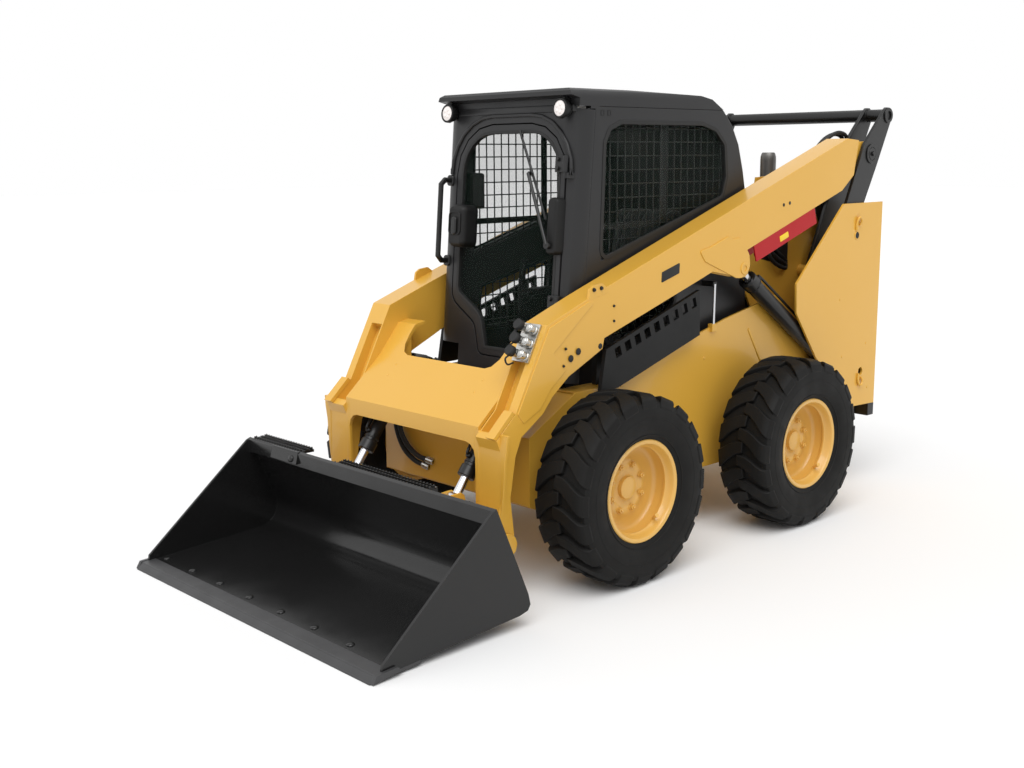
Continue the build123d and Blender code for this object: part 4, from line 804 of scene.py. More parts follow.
@dataclass
class Wheel(Assembly):
    """A loader wheel: lugged tyre, deep rim, nuts and valve.

    Attributes:
        end: End of the machine that it is on.
        side: Side of the machine that it is on.
        axle_x: X of the axle.
        radius: Radius over the lugs.
        centre_y: Distance of the wheel's centre plane from the machine's middle.
        carcass: Radius of the casing's crown.
        half_width: Half of the casing's width.
        lugs: Lugs in each row.
        rim_face_y: Outer face of the rim.
        rim_back_y: Inner face of the rim.
        flange: Radius of the rim's flanges.
        dish: Depth of the disc behind the rim's face.
        nut_circle: Radius of the nuts' circle.
        nuts: Wheel nuts.
        valve_turn: Angle of the valve round the rim, in degrees.
    """

    end: End
    side: Side
    axle_x: float
    radius: float = 417.0
    centre_y: float = 748.0
    carcass: float = 398.0
    half_width: float = 143.0
    lugs: int = 20
    rim_face_y: float = 870.0
    rim_back_y: float = 626.0
    flange: float = 225.0
    dish: float = 113.0
    nut_circle: float = 103.0
    nuts: int = 8
    valve_turn: float = 128.0

    @property
    def mark(self) -> str:
        """End and side, as the names of nodes and pieces have them."""
        return f"{self.end.value}_{self.side.label}"

    @property
    def body(self) -> str:
        """Name of the body that turns."""
        return f"wheel_{self.mark}"

    def place(self) -> Matrix:
        """Work out the wheel's own axes.

        Returns:
            Place at the wheel's centre whose Z looks out of the machine along the axle.
        """
        out = self.side.value
        turn = Matrix.Rotation(math.radians(-90 * out), 4, "X")
        return Matrix.Translation((self.axle_x, out * self.centre_y, self.radius)) @ turn

    def carcass_radius(self, y: float) -> float:
        """Radius of the casing's outer face at a distance from the wheel's centre plane."""
        share = min(abs(y) / self.half_width, 1.0)
        return self.carcass - 6 * share ** 2 - 11 * max(0.0, share - 0.72) / 0.28

    def tyre(self) -> None:
        """Casing with a smooth bulged wall, and two staggered rows of curved lugs."""
        form, place = Form(), self.place()
        wall = [(213, 116), (228, 119), (238, 127), (262, 137), (296, 142.5), (340, 142), (368, 139.5)]
        crown = [(self.carcass_radius(y), y) for y in (134, 118, 90, 60, 30, 0)]
        half = wall + crown
        profile = half + [(r, -y) for r, y in reversed(half[:-1])]
        form.lathe(profile, 120, place)
        for middle, face, high in ((246, 131.5, 1.6), (318, 141.6, 1.4)):
            for out in (1, -1):
                foot, top = out * face - out * 2, out * face + out * high
                ring = [(middle - 4, foot), (middle - 2, top), (middle + 2, top), (middle + 4, foot)]
                form.lathe(ring, 120, place)
        form.piece(self.shop, f"casing_{self.mark}", RUBBER, self.body, "tyre_rubber", [f"tyre_{self.mark}"],
                   sharp=50)
        form = Form()
        for row in (1, -1):
            for i in range(self.lugs):
                start = math.tau * (i + (0.25 if row > 0 else -0.25)) / self.lugs
                self.lug(form, place, row, start)
        form.piece(self.shop, f"lugs_{self.mark}", RUBBER, self.body, "tyre_rubber", round_edge=4.0, sharp=30)

    def lug(self, form: Form, place: Matrix, row: int, start: float) -> None:
        """Add one lug, curved back from the centre line and wrapped over the shoulder.

        Args:
            form: Mesh to add to.
            place: The wheel's local axes.
            row: 1 for the outer row, -1 for the inner.
            start: Angle of the lug's inner end.
        """
        top = self.radius - 0.5
        # Distance from the centre plane, sweep in degrees, outer radius, half width at top and at foot.
        stations = (
            (-16, 0.0, top, 26, 30), (28, 1.6, top, 31, 35), (66, 4.6, top, 36, 40),
            (98, 8.2, top - 2, 41, 45), (122, 10.6, top - 7, 44, 48), (136, 11.6, top - 19, 45, 49),
            (143, 12.0, top - 48, 43, 47))
        lean = self.side.value
        rings = []
        for y, sweep, outer, half_top, half_base in stations:
            base = self.carcass_radius(min(y, 138)) - 6 if y < 130 else outer - 26
            sunk = 10 if y > 130 else 0
            ring = []
            for r, half, drop in ((base, half_base, sunk), (outer, half_top, 0), (outer, -half_top, 0),
                                  (base, -half_base, sunk)):
                angle = start + lean * math.radians(sweep) + half / r
                ring.append(place @ Vector((r * math.cos(angle), r * math.sin(angle), row * (y - drop))))
            rings.append(ring)
        form.faces(rings)

    def rim(self) -> None:
        """One-piece welded rim with a stepped well, a dished disc and its hub, and the nuts and valve."""
        form, place = Form(), self.place()
        face, back = self.rim_face_y - self.centre_y, self.rim_back_y - self.centre_y
        disc = face - self.dish
        lip = self.flange
        section = [
            (0, disc + 30), (42, disc + 30), (48, disc + 27), (50, disc + 8), (56, disc + 4), (84, disc + 4),
            (90, disc + 9), (120, disc + 9), (128, disc + 4), (150, disc), (180, disc + 1), (192, disc + 8),
            (198, disc + 20), (199, face - 58), (190, face - 50), (189, face - 40), (198, face - 30),
            (201, face - 12), (206, face - 3), (214, face), (lip - 4, face), (lip, face - 4),
            (lip - 1, face - 9), (212, face - 11), (209, face - 16), (209, back + 14), (214, back + 9),
            (lip, back + 8), (lip, back), (206, back), (198, back + 12), (190, back + 40), (186, disc - 26),
            (180, disc - 12), (60, disc - 12), (42, disc - 12), (42, disc + 24), (0, disc + 24)]
        form.lathe(section, 112, place, closed=False)
        form.piece(self.shop, f"rim_{self.mark}_turned", RIM_YELLOW, self.body, "yellow_paint",
                   [f"rim_{self.mark}"], sharp=40)
        form = Form()
        out = Vector((0, self.side.value, 0))
        for i in range(self.nuts):
            turn = math.tau * (i + 0.5) / self.nuts
            across, along = self.nut_circle * math.cos(turn), self.nut_circle * math.sin(turn)
            at = place @ Vector((across, along, disc + 9))
            form.bolt(at, out, 24)
            form.lathe([(0, 0), (6, 0), (6, 21), (4, 23), (0, 23)], 12, looking(at, out), closed=False)
        form.piece(self.shop, f"wheel_nuts_{self.mark}", RIM_YELLOW, self.body, "yellow_paint",
                   round_edge=0.8)
        form = Form()
        turn = math.radians(self.valve_turn)
        foot = Vector((190 * math.cos(turn), 190 * math.sin(turn), face - 46))
        tip = foot + Vector((-24 * math.cos(turn), -24 * math.sin(turn), 30))
        form.tube([place @ foot, place @ foot.lerp(tip, 0.5), place @ tip], 7, 12)
        form.tube([place @ tip, place @ (tip + (tip - foot) * 0.3)], 9, 12)
        form.piece(self.shop, f"valve_{self.mark}", RIM_YELLOW, self.body, "yellow_paint", sharp=40)

    def build(self) -> None:
        """Build the tyre and the rim."""
        self.tyre()
        self.rim()


@dataclass
class Cab(Assembly):
    """Operator's cab: window guards, seals, door fittings, lamps, trim and controls.

    Attributes:
        half_width: Half of the cab's outer width.
        wall: Thickness of the pressed walls.
        foot: X and Z of the point that the leaning front turns about.
        rake: Lean of the front in degrees.
        top: Height of the walls.
        door: Left and right Y, then bottom and top Z of the door.
        arch: Radius of the door's upper corners.
        border: Width of the door's frame round its pane.
        rod: Radius of the guards' rods.
        cell: Width and height of the guards' cells.
        overlap: How far the guards reach past the windows.
        stiffeners: X of the guards' upright flat, and Z of the level one.
        latch: Y and Z of the door's latch.
        wiper: Foot and tip of the wiper in front view.
        hinges: Z of the door's hinges.
        lamp: Depth, Y and height of a work lamp on the leaning front.
        lamp_radius: Outer radius of the lamp's bezel.
        handle: Y of the grab handle, then Z of its two feet.
        joystick: X and Y of the joysticks.
    """

    half_width: float = 440.0
    wall: float = 30.0
    foot: Point2 = (1287.0, 970.0)
    rake: float = 4.88
    top: float = 2035.0
    door: tuple[float, float, float, float] = (375.0, -335.0, 908.0, 1968.0)
    arch: float = 225.0
    border: float = 28.0
    rod: float = 3.4
    cell: Point2 = (50.0, 62.0)
    overlap: float = 16.0
    stiffeners: Point2 = (580.0, 1509.0)
    latch: Point2 = (-268.0, 1500.0)
    wiper: tuple[Point2, Point2] = ((346.0, 1436.0), (92.0, 1940.0))
    hinges: Point2 = (1180.0, 1790.0)
    lamp: Point3 = (52.0, 372.0, 2024.0)
    lamp_radius: float = 43.0
    handle: Point3 = (-385.0, 1332.0, 1714.0)
    joystick: Point2 = (800.0, 330.0)

    def leaning(self) -> Matrix:
        """Work out the leaning front's own axes.

        Returns:
            Place whose X is square to the front and whose heights run up it.
        """
        x, z = self.foot
        turn = Matrix.Rotation(math.radians(-self.rake), 4, "Y")
        return Matrix.Translation((x, 0, z)) @ turn @ Matrix.Translation((0, 0, -z))

    def door_outline(self, grow: float) -> list[Point2]:
        """Draw the door in front view.

        Args:
            grow: How far the outline lies outside the door, below zero for inside.

        Returns:
            Outline (Y, Z) with rounded corners.
        """
        left, right, bottom, top = self.door
        left, right, bottom, top = left + grow, right - grow, bottom - grow, top + grow
        points = [(left, top), (right, top), (right, bottom + 245), (right + 172, bottom + 143),
                  (right + 210, bottom), (left, bottom)]
        radii = [self.arch + grow] * 2 + [80 + grow, 80 - grow, 34 + grow, 34 + grow]
        return rounded(points, [max(r, 4.0) for r in radii])

    def windows(self) -> list[list[Point2]]:
        """Draw the side windows in side view.

        Returns:
            Outlines of the upper and the lower window.
        """
        high = self.top - 69
        upper = [(1057, 1365), (1034, high - 86), (1002, high - 28), (930, high), (343, high),
                 (240, high - 28), (167, high - 95), (150, 1716), (179, 1621)]
        lower = [(1030, 985), (1005, 1180), (520, 1290), (540, 1121), (760, 985)]
        return [upper, lower]

    def guards(self) -> None:
        """Welded rod guards inside the side windows, with their flat stiffeners."""
        upright, level = self.stiffeners
        for side in Side:
            out = side.value
            form = Form()
            y = out * (self.half_width - self.wall - 5)
            for window in self.windows():
                outline = inset(window, -self.overlap)
                edge = [Vector((x, y, z)) for x, z in outline]
                form.tube(edge + edge[:1], 6, 8)
                for along, pitch in ((1, self.cell[0]), (0, self.cell[1])):
                    places = [p[1 - along] for p in outline]
                    for i in range(1, int((max(places) - min(places)) / pitch) + 1):
                        at = min(places) + pitch * (i - 0.3)
                        span = chord(outline, along, at)
                        if span:
                            ends = [(s, at) if along == 0 else (at, s) for s in span]
                            form.tube([Vector((x, y + out * 4 * along, z)) for x, z in ends], self.rod, 6)
            upper = inset(self.windows()[0], -self.overlap)
            low, high = chord(upper, 1, upright)
            form.slab((upright, y - out * 7, (low + high) / 2), (38, 6, high - low))
            low, high = chord(upper, 0, level)
            form.slab(((low + high) / 2, y - out * 7, level), (high - low, 6, 28))
            form.piece(self.shop, f"window_guard_{side.label}", BLACK, "chassis", "black_paint", sharp=40)

    def seals(self) -> None:
        """Rubber sections round the panes, and the soft seal that the door closes on."""
        low, high = self.half_width - 6, self.half_width + 3
        for side in Side:
            out = side.value
            form = Form()
            for window in self.windows():
                soft = rounded(window, [34] * len(window), 3)
                form.band(inset(soft, -13), inset(soft, 7), low, high, side_view(out))
            form.piece(self.shop, f"pane_seal_{side.label}", SEAL, "chassis", round_edge=2.0, sharp=50)
        lift = front_view(self.leaning())
        form = Form()
        form.band(self.door_outline(3 - self.border), self.door_outline(-self.border - 12), -22, 2, lift)
        form.piece(self.shop, "door_pane_seal", SEAL, "door", round_edge=2.0, sharp=50)
        form = Form()
        form.band(self.door_outline(14), self.door_outline(-14), -self.wall - 14, -self.wall - 1.5, lift)
        form.piece(self.shop, "door_frame_seal", SEAL, "chassis", round_edge=2.0, sharp=50)

    def door_fittings(self) -> None:
        """Latch housing with its pull, wiper with its motor cover, and the hinges' bolts."""
        lift = front_view(self.leaning())
        y, z = self.latch
        (y0, z0), (y1, z1) = self.wiper

        def swept(share: float, high: float) -> Vector:
            """Point at a share of the wiper's length from its foot, and at a height over the door."""
            return lift(y0 + (y1 - y0) * share, z0 + (z1 - z0) * share, high)

        form = Form()
        housing = box_outline(self.latch, (118, 200), 30)
        form.raised(housing, [(0, -28), (0, 30), (5, 48), (14, 60), (26, 64)], lift)
        dish = (y, z + 12)
        form.band(box_outline(dish, (84, 110), 20), box_outline(dish, (70, 96), 16), 58, 69, lift)
        form.raised(box_outline((352, 1520), (66, 250), 22), [(0, -24), (0, 26), (5, 40), (16, 46)], lift)
        form.piece(self.shop, "door_housings", PLASTIC, "door", "black_plastic", round_edge=2.5)
        form = Form()
        form.raised(box_outline(self.latch, (34, 84), 15), [(0, 60), (0, 71), (4, 75), (9, 76)], lift)
        form.tube([swept(0, 40), swept(0, 66)], 17, 16)
        arm = [swept(t, 62 - 30 * t) for t in (0, 0.1, 0.3, 0.62)]
        form.tube(arm, 8, 8)
        blade = [swept(t, 16) for t in (0.22, 0.6, 1)]
        form.tube(blade, 6, 8)
        form.tube([arm[-1], swept(0.62, 28), blade[1]], 7, 8)
        form.piece(self.shop, "door_wiper", BLACK, "door", "black_paint", round_edge=1.0)
        form = Form()
        out = self.leaning().to_3x3() @ Vector((1, 0, 0))
        for hinge in self.hinges:
            for step in (-20, 20):
                form.bolt(lift(348, hinge + step, 18), out, 16)
        form.piece(self.shop, "door_hinge_bolts", BLACK, "door", round_edge=0.6)

    def lamps(self) -> None:
        """Round work lamps: bezel, bracket, lens and its five cells."""
        place = self.leaning()
        turn = place.to_3x3()
        ahead = turn @ Vector((1, 0, 0))
        bezels, lenses = Form(), Form()
        depth, y, z = self.lamp
        for out in OUTWARDS:
            at = place @ Vector((depth, out * y, z))
            bezels.collar(at, ahead, self.lamp_radius, self.lamp_radius - 9, -6, 5)
            lenses.dome(at, ahead, self.lamp_radius - 8, 5)
            for i in range(5):
                angle = math.radians(72 * i)
                cell = at + turn @ Vector((3, 17 * math.cos(angle), 17 * math.sin(angle)))
                lenses.dome(cell, ahead, 8, 5)
            bezels.slab(place @ Vector((18, out * y, z + 30)), (34, 16, 40), turn)
        bezels.piece(self.shop, "lamp_bezels", PLASTIC, "chassis", "lamp_body", round_edge=1.0)
        lenses.piece(self.shop, "lamp_lenses", LENS, "chassis", sharp=60)

    def trim(self) -> None:
        """Roof sockets, handle feet, the front's arch moulding with its fillers, and the rear header."""
        form = Form()
        for out in OUTWARDS:
            for x in (1008, 1052):
                socket = box_outline((x, 2007), (22, 26), 3)
                form.raised(socket, [(0, 438), (0, 441.5), (4, 441.5), (5, 439.5)], side_view(out))
        form.piece(self.shop, "roof_sockets", SEAL, "chassis", sharp=40)
        form = Form()
        lift = front_view(self.leaning())
        y, *feet = self.handle
        for z in feet:
            form.raised(box_outline((y, z), (44, 52), 14), [(0, -22), (0, 3), (3, 7), (8, 8)], lift)
        form.piece(self.shop, "handle_feet", BLACK, "chassis", "black_paint", round_edge=1.0)
        form = Form()
        arch = [p for p in self.door_outline(40) if p[1] > 1740]
        arch = [(arch[0][0], 1770)] + arch + [(arch[-1][0], 1770)]
        form.tube([lift(u, v, 2) for u, v in arch], 9, 10)
        form.raised(box_outline((0, 2030), (812, 30), 4), [(0, -22), (0, 4), (2, 6)], lift)
        for out in OUTWARDS:
            form.slab((1098, out * 425, 2030), (56, 29, 13))
        form.piece(self.shop, "front_arch", CAB_GREY, "chassis", "grey_paint", sharp=50)
        form = Form()
        curve = [(92, 1936), (106, 1960), (124, 1984), (146, 2006), (170, 2024), (196, 2036)]
        under = [(x + 8, z - 7) for x, z in reversed(curve)]
        form.prism(curve + under, self.wall - self.half_width, self.half_width - self.wall)
        form.piece(self.shop, "rear_header", CAB_GREY, "chassis", "grey_paint", sharp=50)

    def controls(self) -> None:
        """Joystick boots and grips, arm rest pads, and the display on the right pillar."""
        boots, grips = Form(), Form()
        x, y = self.joystick
        for out in OUTWARDS:
            foot = Matrix.Translation((x, out * y, 1096))
            rings = [(26 + (5 if i % 2 else 0) - i * 1.2, 30 + 8 * i) for i in range(7)]
            boots.lathe([(0, 30)] + rings + [(0, 86)], 24, foot, closed=False)
            path = smooth_path([(x, out * y, 1178), (x + 6, out * y, 1215), (x + 2, out * (y - 1), 1262),
                                (x - 10, out * (y - 3), 1296)])
            grips.tube(path, 17, 16)
            grips.dome(path[-1], (path[-1] - path[-2]).normalized(), 20, 14)
            rest = rounded([(405, 292), (790, 292), (790, 378), (405, 378)], [34] * 4)
            pad = [(u, out * v) for u, v in rest]
            grips.raised(pad, [(3, 1128), (0, 1133), (0, 1146), (6, 1155), (16, 1159)], top_view)
        boots.piece(self.shop, "joystick_boots", SEAL, "chassis", sharp=60)
        grips.piece(self.shop, "joystick_grips", PLASTIC, "chassis", "black_plastic",
                    round_edge=1.0, sharp=50)
        form = Form()
        turn = Matrix.Rotation(math.radians(-28), 4, "Z")
        place = Matrix.Translation((1120, -352, 1660)) @ turn
        form.raised(box_outline((0, 0), (120, 170), 14), [(6, -50), (0, -40), (0, 8), (5, 13), (12, 14)],
                    front_view(place))
        stalk = [place @ Vector((-40, 0, -60)), Vector((1150, -395, 1590)), Vector((1160, -404, 1560))]
        form.tube(stalk, 12, 12)
        form.piece(self.shop, "cab_display", PLASTIC, "chassis", "black_plastic", round_edge=1.5)

    def build(self) -> None:
        """Build all of the cab's pieces."""
        self.guards()
        self.seals()
        self.door_fittings()
        self.lamps()
        self.trim()
        self.controls()


@dataclass
class Seat(Assembly):
    """Suspension seat: two stuffed cushions swelled by the cloth solver, with sewn channels.

    Attributes:
        voxel: Size of the solver's mesh in millimetres.
        pressure: Pressure of the stuffing.
        cap: Most that the cover may bulge, in millimetres.
        frames: Solver steps.
        dip: Depth of a sewn channel in millimetres.
    """

    voxel: float = 6.0
    pressure: float = 4.0
    cap: float = 18.0
    frames: int = 20
    dip: float = 9.0

    def swell(self, made: bpy.types.Object, held: Callable[[Vector], bool]) -> None:
        """Blow the cover up, and keep the result as the mesh.

        Args:
            made: Cushion, already in place.
            held: Tells which points rest on the seat's pan.
        """
        grid = made.modifiers.new("grid", "REMESH")
        grid.mode = "VOXEL"
        grid.voxel_size = self.voxel * MM
        made.data = self.baked(made)
        still = made.vertex_groups.new(name="still")
        still.add([v.index for v in made.data.vertices if held(v.co)], 1.0, "REPLACE")
        start = [v.co.copy() for v in made.data.vertices]
        cloth = made.modifiers.new("stuffing", "CLOTH")
        cloth.settings.use_pressure = True
        cloth.settings.uniform_pressure_force = self.pressure
        cloth.settings.vertex_group_mass = "still"
        cloth.settings.effector_weights.gravity = 0
        scene = bpy.context.scene
        for frame in range(1, self.frames + 1):
            scene.frame_set(frame)
        swelled = self.baked(made)
        scene.frame_set(1)
        for vertex, old in zip(swelled.vertices, start):
            move = vertex.co - old
            if move.length > self.cap * MM:
                vertex.co = old + move.normalized() * self.cap * MM
        made.data = swelled

    @staticmethod
    def baked(made: bpy.types.Object) -> bpy.types.Mesh:
        """Apply every modifier, leaving none on the object.

        Args:
            made: Object to work on.

        Returns:
            The new mesh.
        """
        graph = bpy.context.evaluated_depsgraph_get()
        mesh = bpy.data.meshes.new_from_object(made.evaluated_get(graph))
        made.modifiers.clear()
        return mesh

    def cushion(self, node: str, outline: Sequence[Point2], half: float, channels: Sequence[float],
                normal: Vector) -> None:
        """Make one cushion from its side view.

        Args:
            node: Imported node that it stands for.
            outline: Side view (X, Z), a little smaller than the finished cushion.
            half: Half of its width.
            channels: Y of the sewn channels.
            normal: Way that the sitting face looks.
        """
        form = Form()
        ring = rounded(outline, [26] * len(outline), 4)
        widths = ((-half, 34), (20 - half, 8), (46 - half, 0), (half - 46, 0), (half - 20, 8), (half, 34))
        form.faces([[Vector((x, y, z)) for x, z in inset(ring, d * 0.6)] for y, d in widths])
        made = form.piece(self.shop, f"{node}_cover", CLOTH, "chassis", "seat_cloth", [node], sharp=80)
        low = min(v.co.dot(normal) for v in made.data.vertices)
        self.swell(made, lambda co: co.dot(normal) < low + 30 * MM)
        for vertex in made.data.vertices:
            if vertex.co.dot(normal) > low + 50 * MM:
                dent = sum(math.exp(-((vertex.co.y / MM - y) / 7) ** 2) for y in channels)
                vertex.co -= normal * dent * self.dip * MM
        made.data.shade_smooth()
        made.modifiers.new("soft", "SUBSURF").levels = 1
        made.modifiers["soft"].render_levels = 1

    def build(self) -> None:
        """Make the cushion and the back."""
        self.cushion("seat_cushion", [(268, 866), (722, 866), (722, 940), (268, 952)], 228,
                     (-150, -50, 50, 150), Vector((0, 0, 1)))
        self.cushion("seat_back", [(318, 980), (374, 980), (250, 1552), (186, 1552)], 212,
                     (-120, 0, 120), Vector((0.98, 0, 0.2)))


@dataclass
class Arms(Assembly):
    """Dress of the lift arms: weld-on plates, bolts, tags, couplers, hoses and the grip strip.

    Attributes:
        outer_y: Outer face of the arms.
        inner_y: Inner face of the arms.
        plate: Thickness of the weld-on plates.
        knee: Side-view line of the knee's front face, from its top to its foot.
        knee_x: X past which the knee's doubler lies on the arm.
        lift_head: X and Z of the lift rods' pins.
        coupler_y: Y of the middle of the coupler block.
        brace_y: Outer face of the stowed brace.
        body: Body that all of it rides on.
    """

    outer_y: float = 592.0
    inner_y: float = 462.0
    plate: float = 5.0
    knee: tuple[Point2, Point2] = ((1552.0, 1133.0), (1734.0, 784.0))
    knee_x: float = 1300.0
    lift_head: Point2 = (199.0, 1279.0)
    coupler_y: float = 520.0
    brace_y: float = 590.0
    body: str = "lift_arms"

    def plates(self) -> None:
        """Gusset round the rod's pin, doubler at the knee, tab on top, and lip at the leg's shoulder."""
        gusset = rounded([(548, 1383), (505, 1330), (262, 1236), (222, 1233), (170, 1252), (152, 1290),
                          (160, 1345), (232, 1432), (300, 1424), (330, 1442), (470, 1396)],
                         [10, 10, 30, 30, 40, 40, 30, 24, 14, 14, 14], 3)
        knee = rounded([(1262, 1208), (1300, 1212), (1540, 1122), (1724, 782), (1690, 738), (1592, 786),
                        (1530, 862), (1440, 930), (1516, 1010)], [6] * 9, 2)
        tab = rounded([(1302, 1214), (1292, 1262), (1268, 1278), (1216, 1284), (1186, 1262), (1170, 1240)],
                      [4, 10, 10, 10, 10, 4], 2)
        lip = [(1734, 786), (1842, 690), (1858, 700), (1752, 798)]
        low, high = self.outer_y - 1, self.outer_y + self.plate
        x, z = self.lift_head
        for side in Side:
            out = side.value
            form, lift = Form(), side_view(out)
            form.raised(gusset, [(0, low), (0, high - 1.5), (1.5, high)], lift)
            form.raised(knee, [(0, low), (0, high - 2.5), (1.5, high - 1)], lift)
            form.raised(tab, [(0, low - 11), (0, low + 1), (1, low + 2)], lift)
            form.prism(lip, out * (self.outer_y - 50), out * (self.outer_y - 1))
            form.collar((x, out * high, z), Vector((0, out, 0)), 30, 15, -1, 4)
            form.piece(self.shop, f"arm_plates_{side.label}", YELLOW, self.body, "yellow_paint",
                       round_edge=1.2, sharp=30)

    def bolts(self) -> None:
        """Bolts on the knee and tab, black domes painted in as the shade of the arm's holes, and the bare
        tags of arm and brace.
        """
        tag = rounded([(690, 1338), (817, 1302), (820, 1254), (692, 1290)], [5] * 4, 2)
        tag_levels = [(0, self.outer_y - 0.5), (0, self.outer_y + 1), (1, self.outer_y + 1.4)]
        holes = ((1366, 1003, 15), (1412, 978, 15), (1225, 1010, 13), (-123, 1574, 9), (-175, 1582, 9))
        for side in Side:
            out = side.value
            heads, plugs = Form(), Form()
            away, face = Vector((0, out, 0)), out * self.outer_y
            for x, z in ((1445, 1023), (1458, 951), (1139, 1178), (1138, 1112)):
                heads.bolt((x, face + (out * self.plate if x > self.knee_x else 0), z), away, 9)
            for x, z in ((1268, 1258), (1222, 1262)):
                heads.bolt((x, face + out, z), away, 13)
            heads.piece(self.shop, f"arm_bolts_{side.label}", BLACK, self.body, "black_paint", round_edge=0.5)
            # Black domes painted in as the shade inside the arm's holes.
            for x, z, radius in holes:
                plugs.dome((x, face + (out * 4 if x > self.knee_x else 0), z), away, radius, 2.5)
            plugs.raised(tag, tag_levels, side_view(out))
            plugs.piece(self.shop, f"arm_plugs_{side.label}", SEAL, self.body, sharp=40)
        form = Form()
        tag = rounded([(-98, 1418), (-170, 1441), (-179, 1413), (-107, 1390)], [3] * 4, 2)
        tag_levels = [(0, self.brace_y - 1), (0, self.brace_y + 0.6), (1, self.brace_y + 1)]
        form.raised(tag, tag_levels, side_view(1))
        form.piece(self.shop, "brace_tag", TAG_YELLOW, self.body, sharp=40)

    def couplers(self) -> None:
        """Auxiliary couplers on the left knee: plated bodies, black dust caps and their tethers."""
        (x0, z0), (x1, z1) = self.knee
        down = Vector((x1 - x0, 0, z1 - z0)).normalized()
        out = Vector((-down.z, 0, down.x))
        turn = Matrix((out, Vector((0, 1, 0)), -down)).transposed()
        seat = Vector((x0, self.coupler_y, z0)) + down * 88 + out * 6
        bodies, caps = Form(), Form()
        bodies.slab(seat, (12, 96, 170), turn)
        spots = ((-58, 496), (-54, 545), (0, 500), (6, 548), (58, 500), (62, 548))
        tether = ((50, 20), (62, 42), (40, 58), (12, 40))
        for k, (along, y) in enumerate(spots):
            at = seat + down * along + Vector((0, y - self.coupler_y, 0)) + out * 5
            for outer, inner, low, high in ((21, 6, 0, 12), (16, 6, 11, 30), (20, 5, 28, 42)):
                bodies.collar(at, out, outer, inner, low, high)
            if k % 2 == 0:
                caps.collar(at, out, 23, 0.5, 36, 64)
                caps.tube(smooth_path([at + out * rise + down * drop for rise, drop in tether]), 4, 8)
            else:
                bodies.dome(at + out * 41, out, 15, 8)
        bodies.piece(self.shop, "aux_couplers", ZINC, self.body, round_edge=1.0)
        caps.piece(self.shop, "aux_dust_caps", SEAL, self.body, sharp=45)

    def hoses(self) -> None:
        """Hoses that loop over the arms' tails, and the clips that hold their ends."""
        form, clips = Form(), Form()
        route = ((-600, 1792), (-650, 1846), (-745, 1910), (-840, 1936), (-915, 1918), (-935, 1862))
        for out in OUTWARDS:
            for k in range(2):
                y, drop = out * (self.inner_y - 22 - 25 * k), 8 * k
                form.tube(smooth_path([(x, y, z - drop) for x, z in route]), 11, 12)
            clips.slab((-604, out * (self.inner_y - 30), 1786), (30, 70, 44))
            clips.slab((-933, out * (self.inner_y - 34), 1846), (34, 54, 52))
        form.piece(self.shop, "arm_hoses", SEAL, self.body, sharp=60)
        clips.piece(self.shop, "arm_hose_clips", BLACK, self.body, "black_paint", round_edge=5.0)

    def grip(self) -> None:
        """Serrated grip along the edge of the cross plate that the operator steps over, and its rivets."""
        form = Form()
        for i in range(36):
            y = -252 + 14.4 * i
            form.prism([(1606, 900), (1600, 912), (1612, 911), (1626, 892), (1620, 884)], y - 3.5, y + 3.5)
        form.piece(self.shop, "cross_plate_grip", YELLOW, self.body, "yellow_paint", round_edge=0.6)
        form = Form()
        for y in (-300, 300):
            for x, z in ((1650, 877), (1700, 833)):
                form.dome((x, y, z), Vector((0.66, 0, 0.75)), 6, 4)
        form.piece(self.shop, "cross_plate_rivets", YELLOW, self.body, "yellow_paint", sharp=40)

    def build(self) -> None:
        """Build all of the arms' pieces."""
        self.plates()
        self.bolts()
        self.couplers()
        self.hoses()
        self.grip()


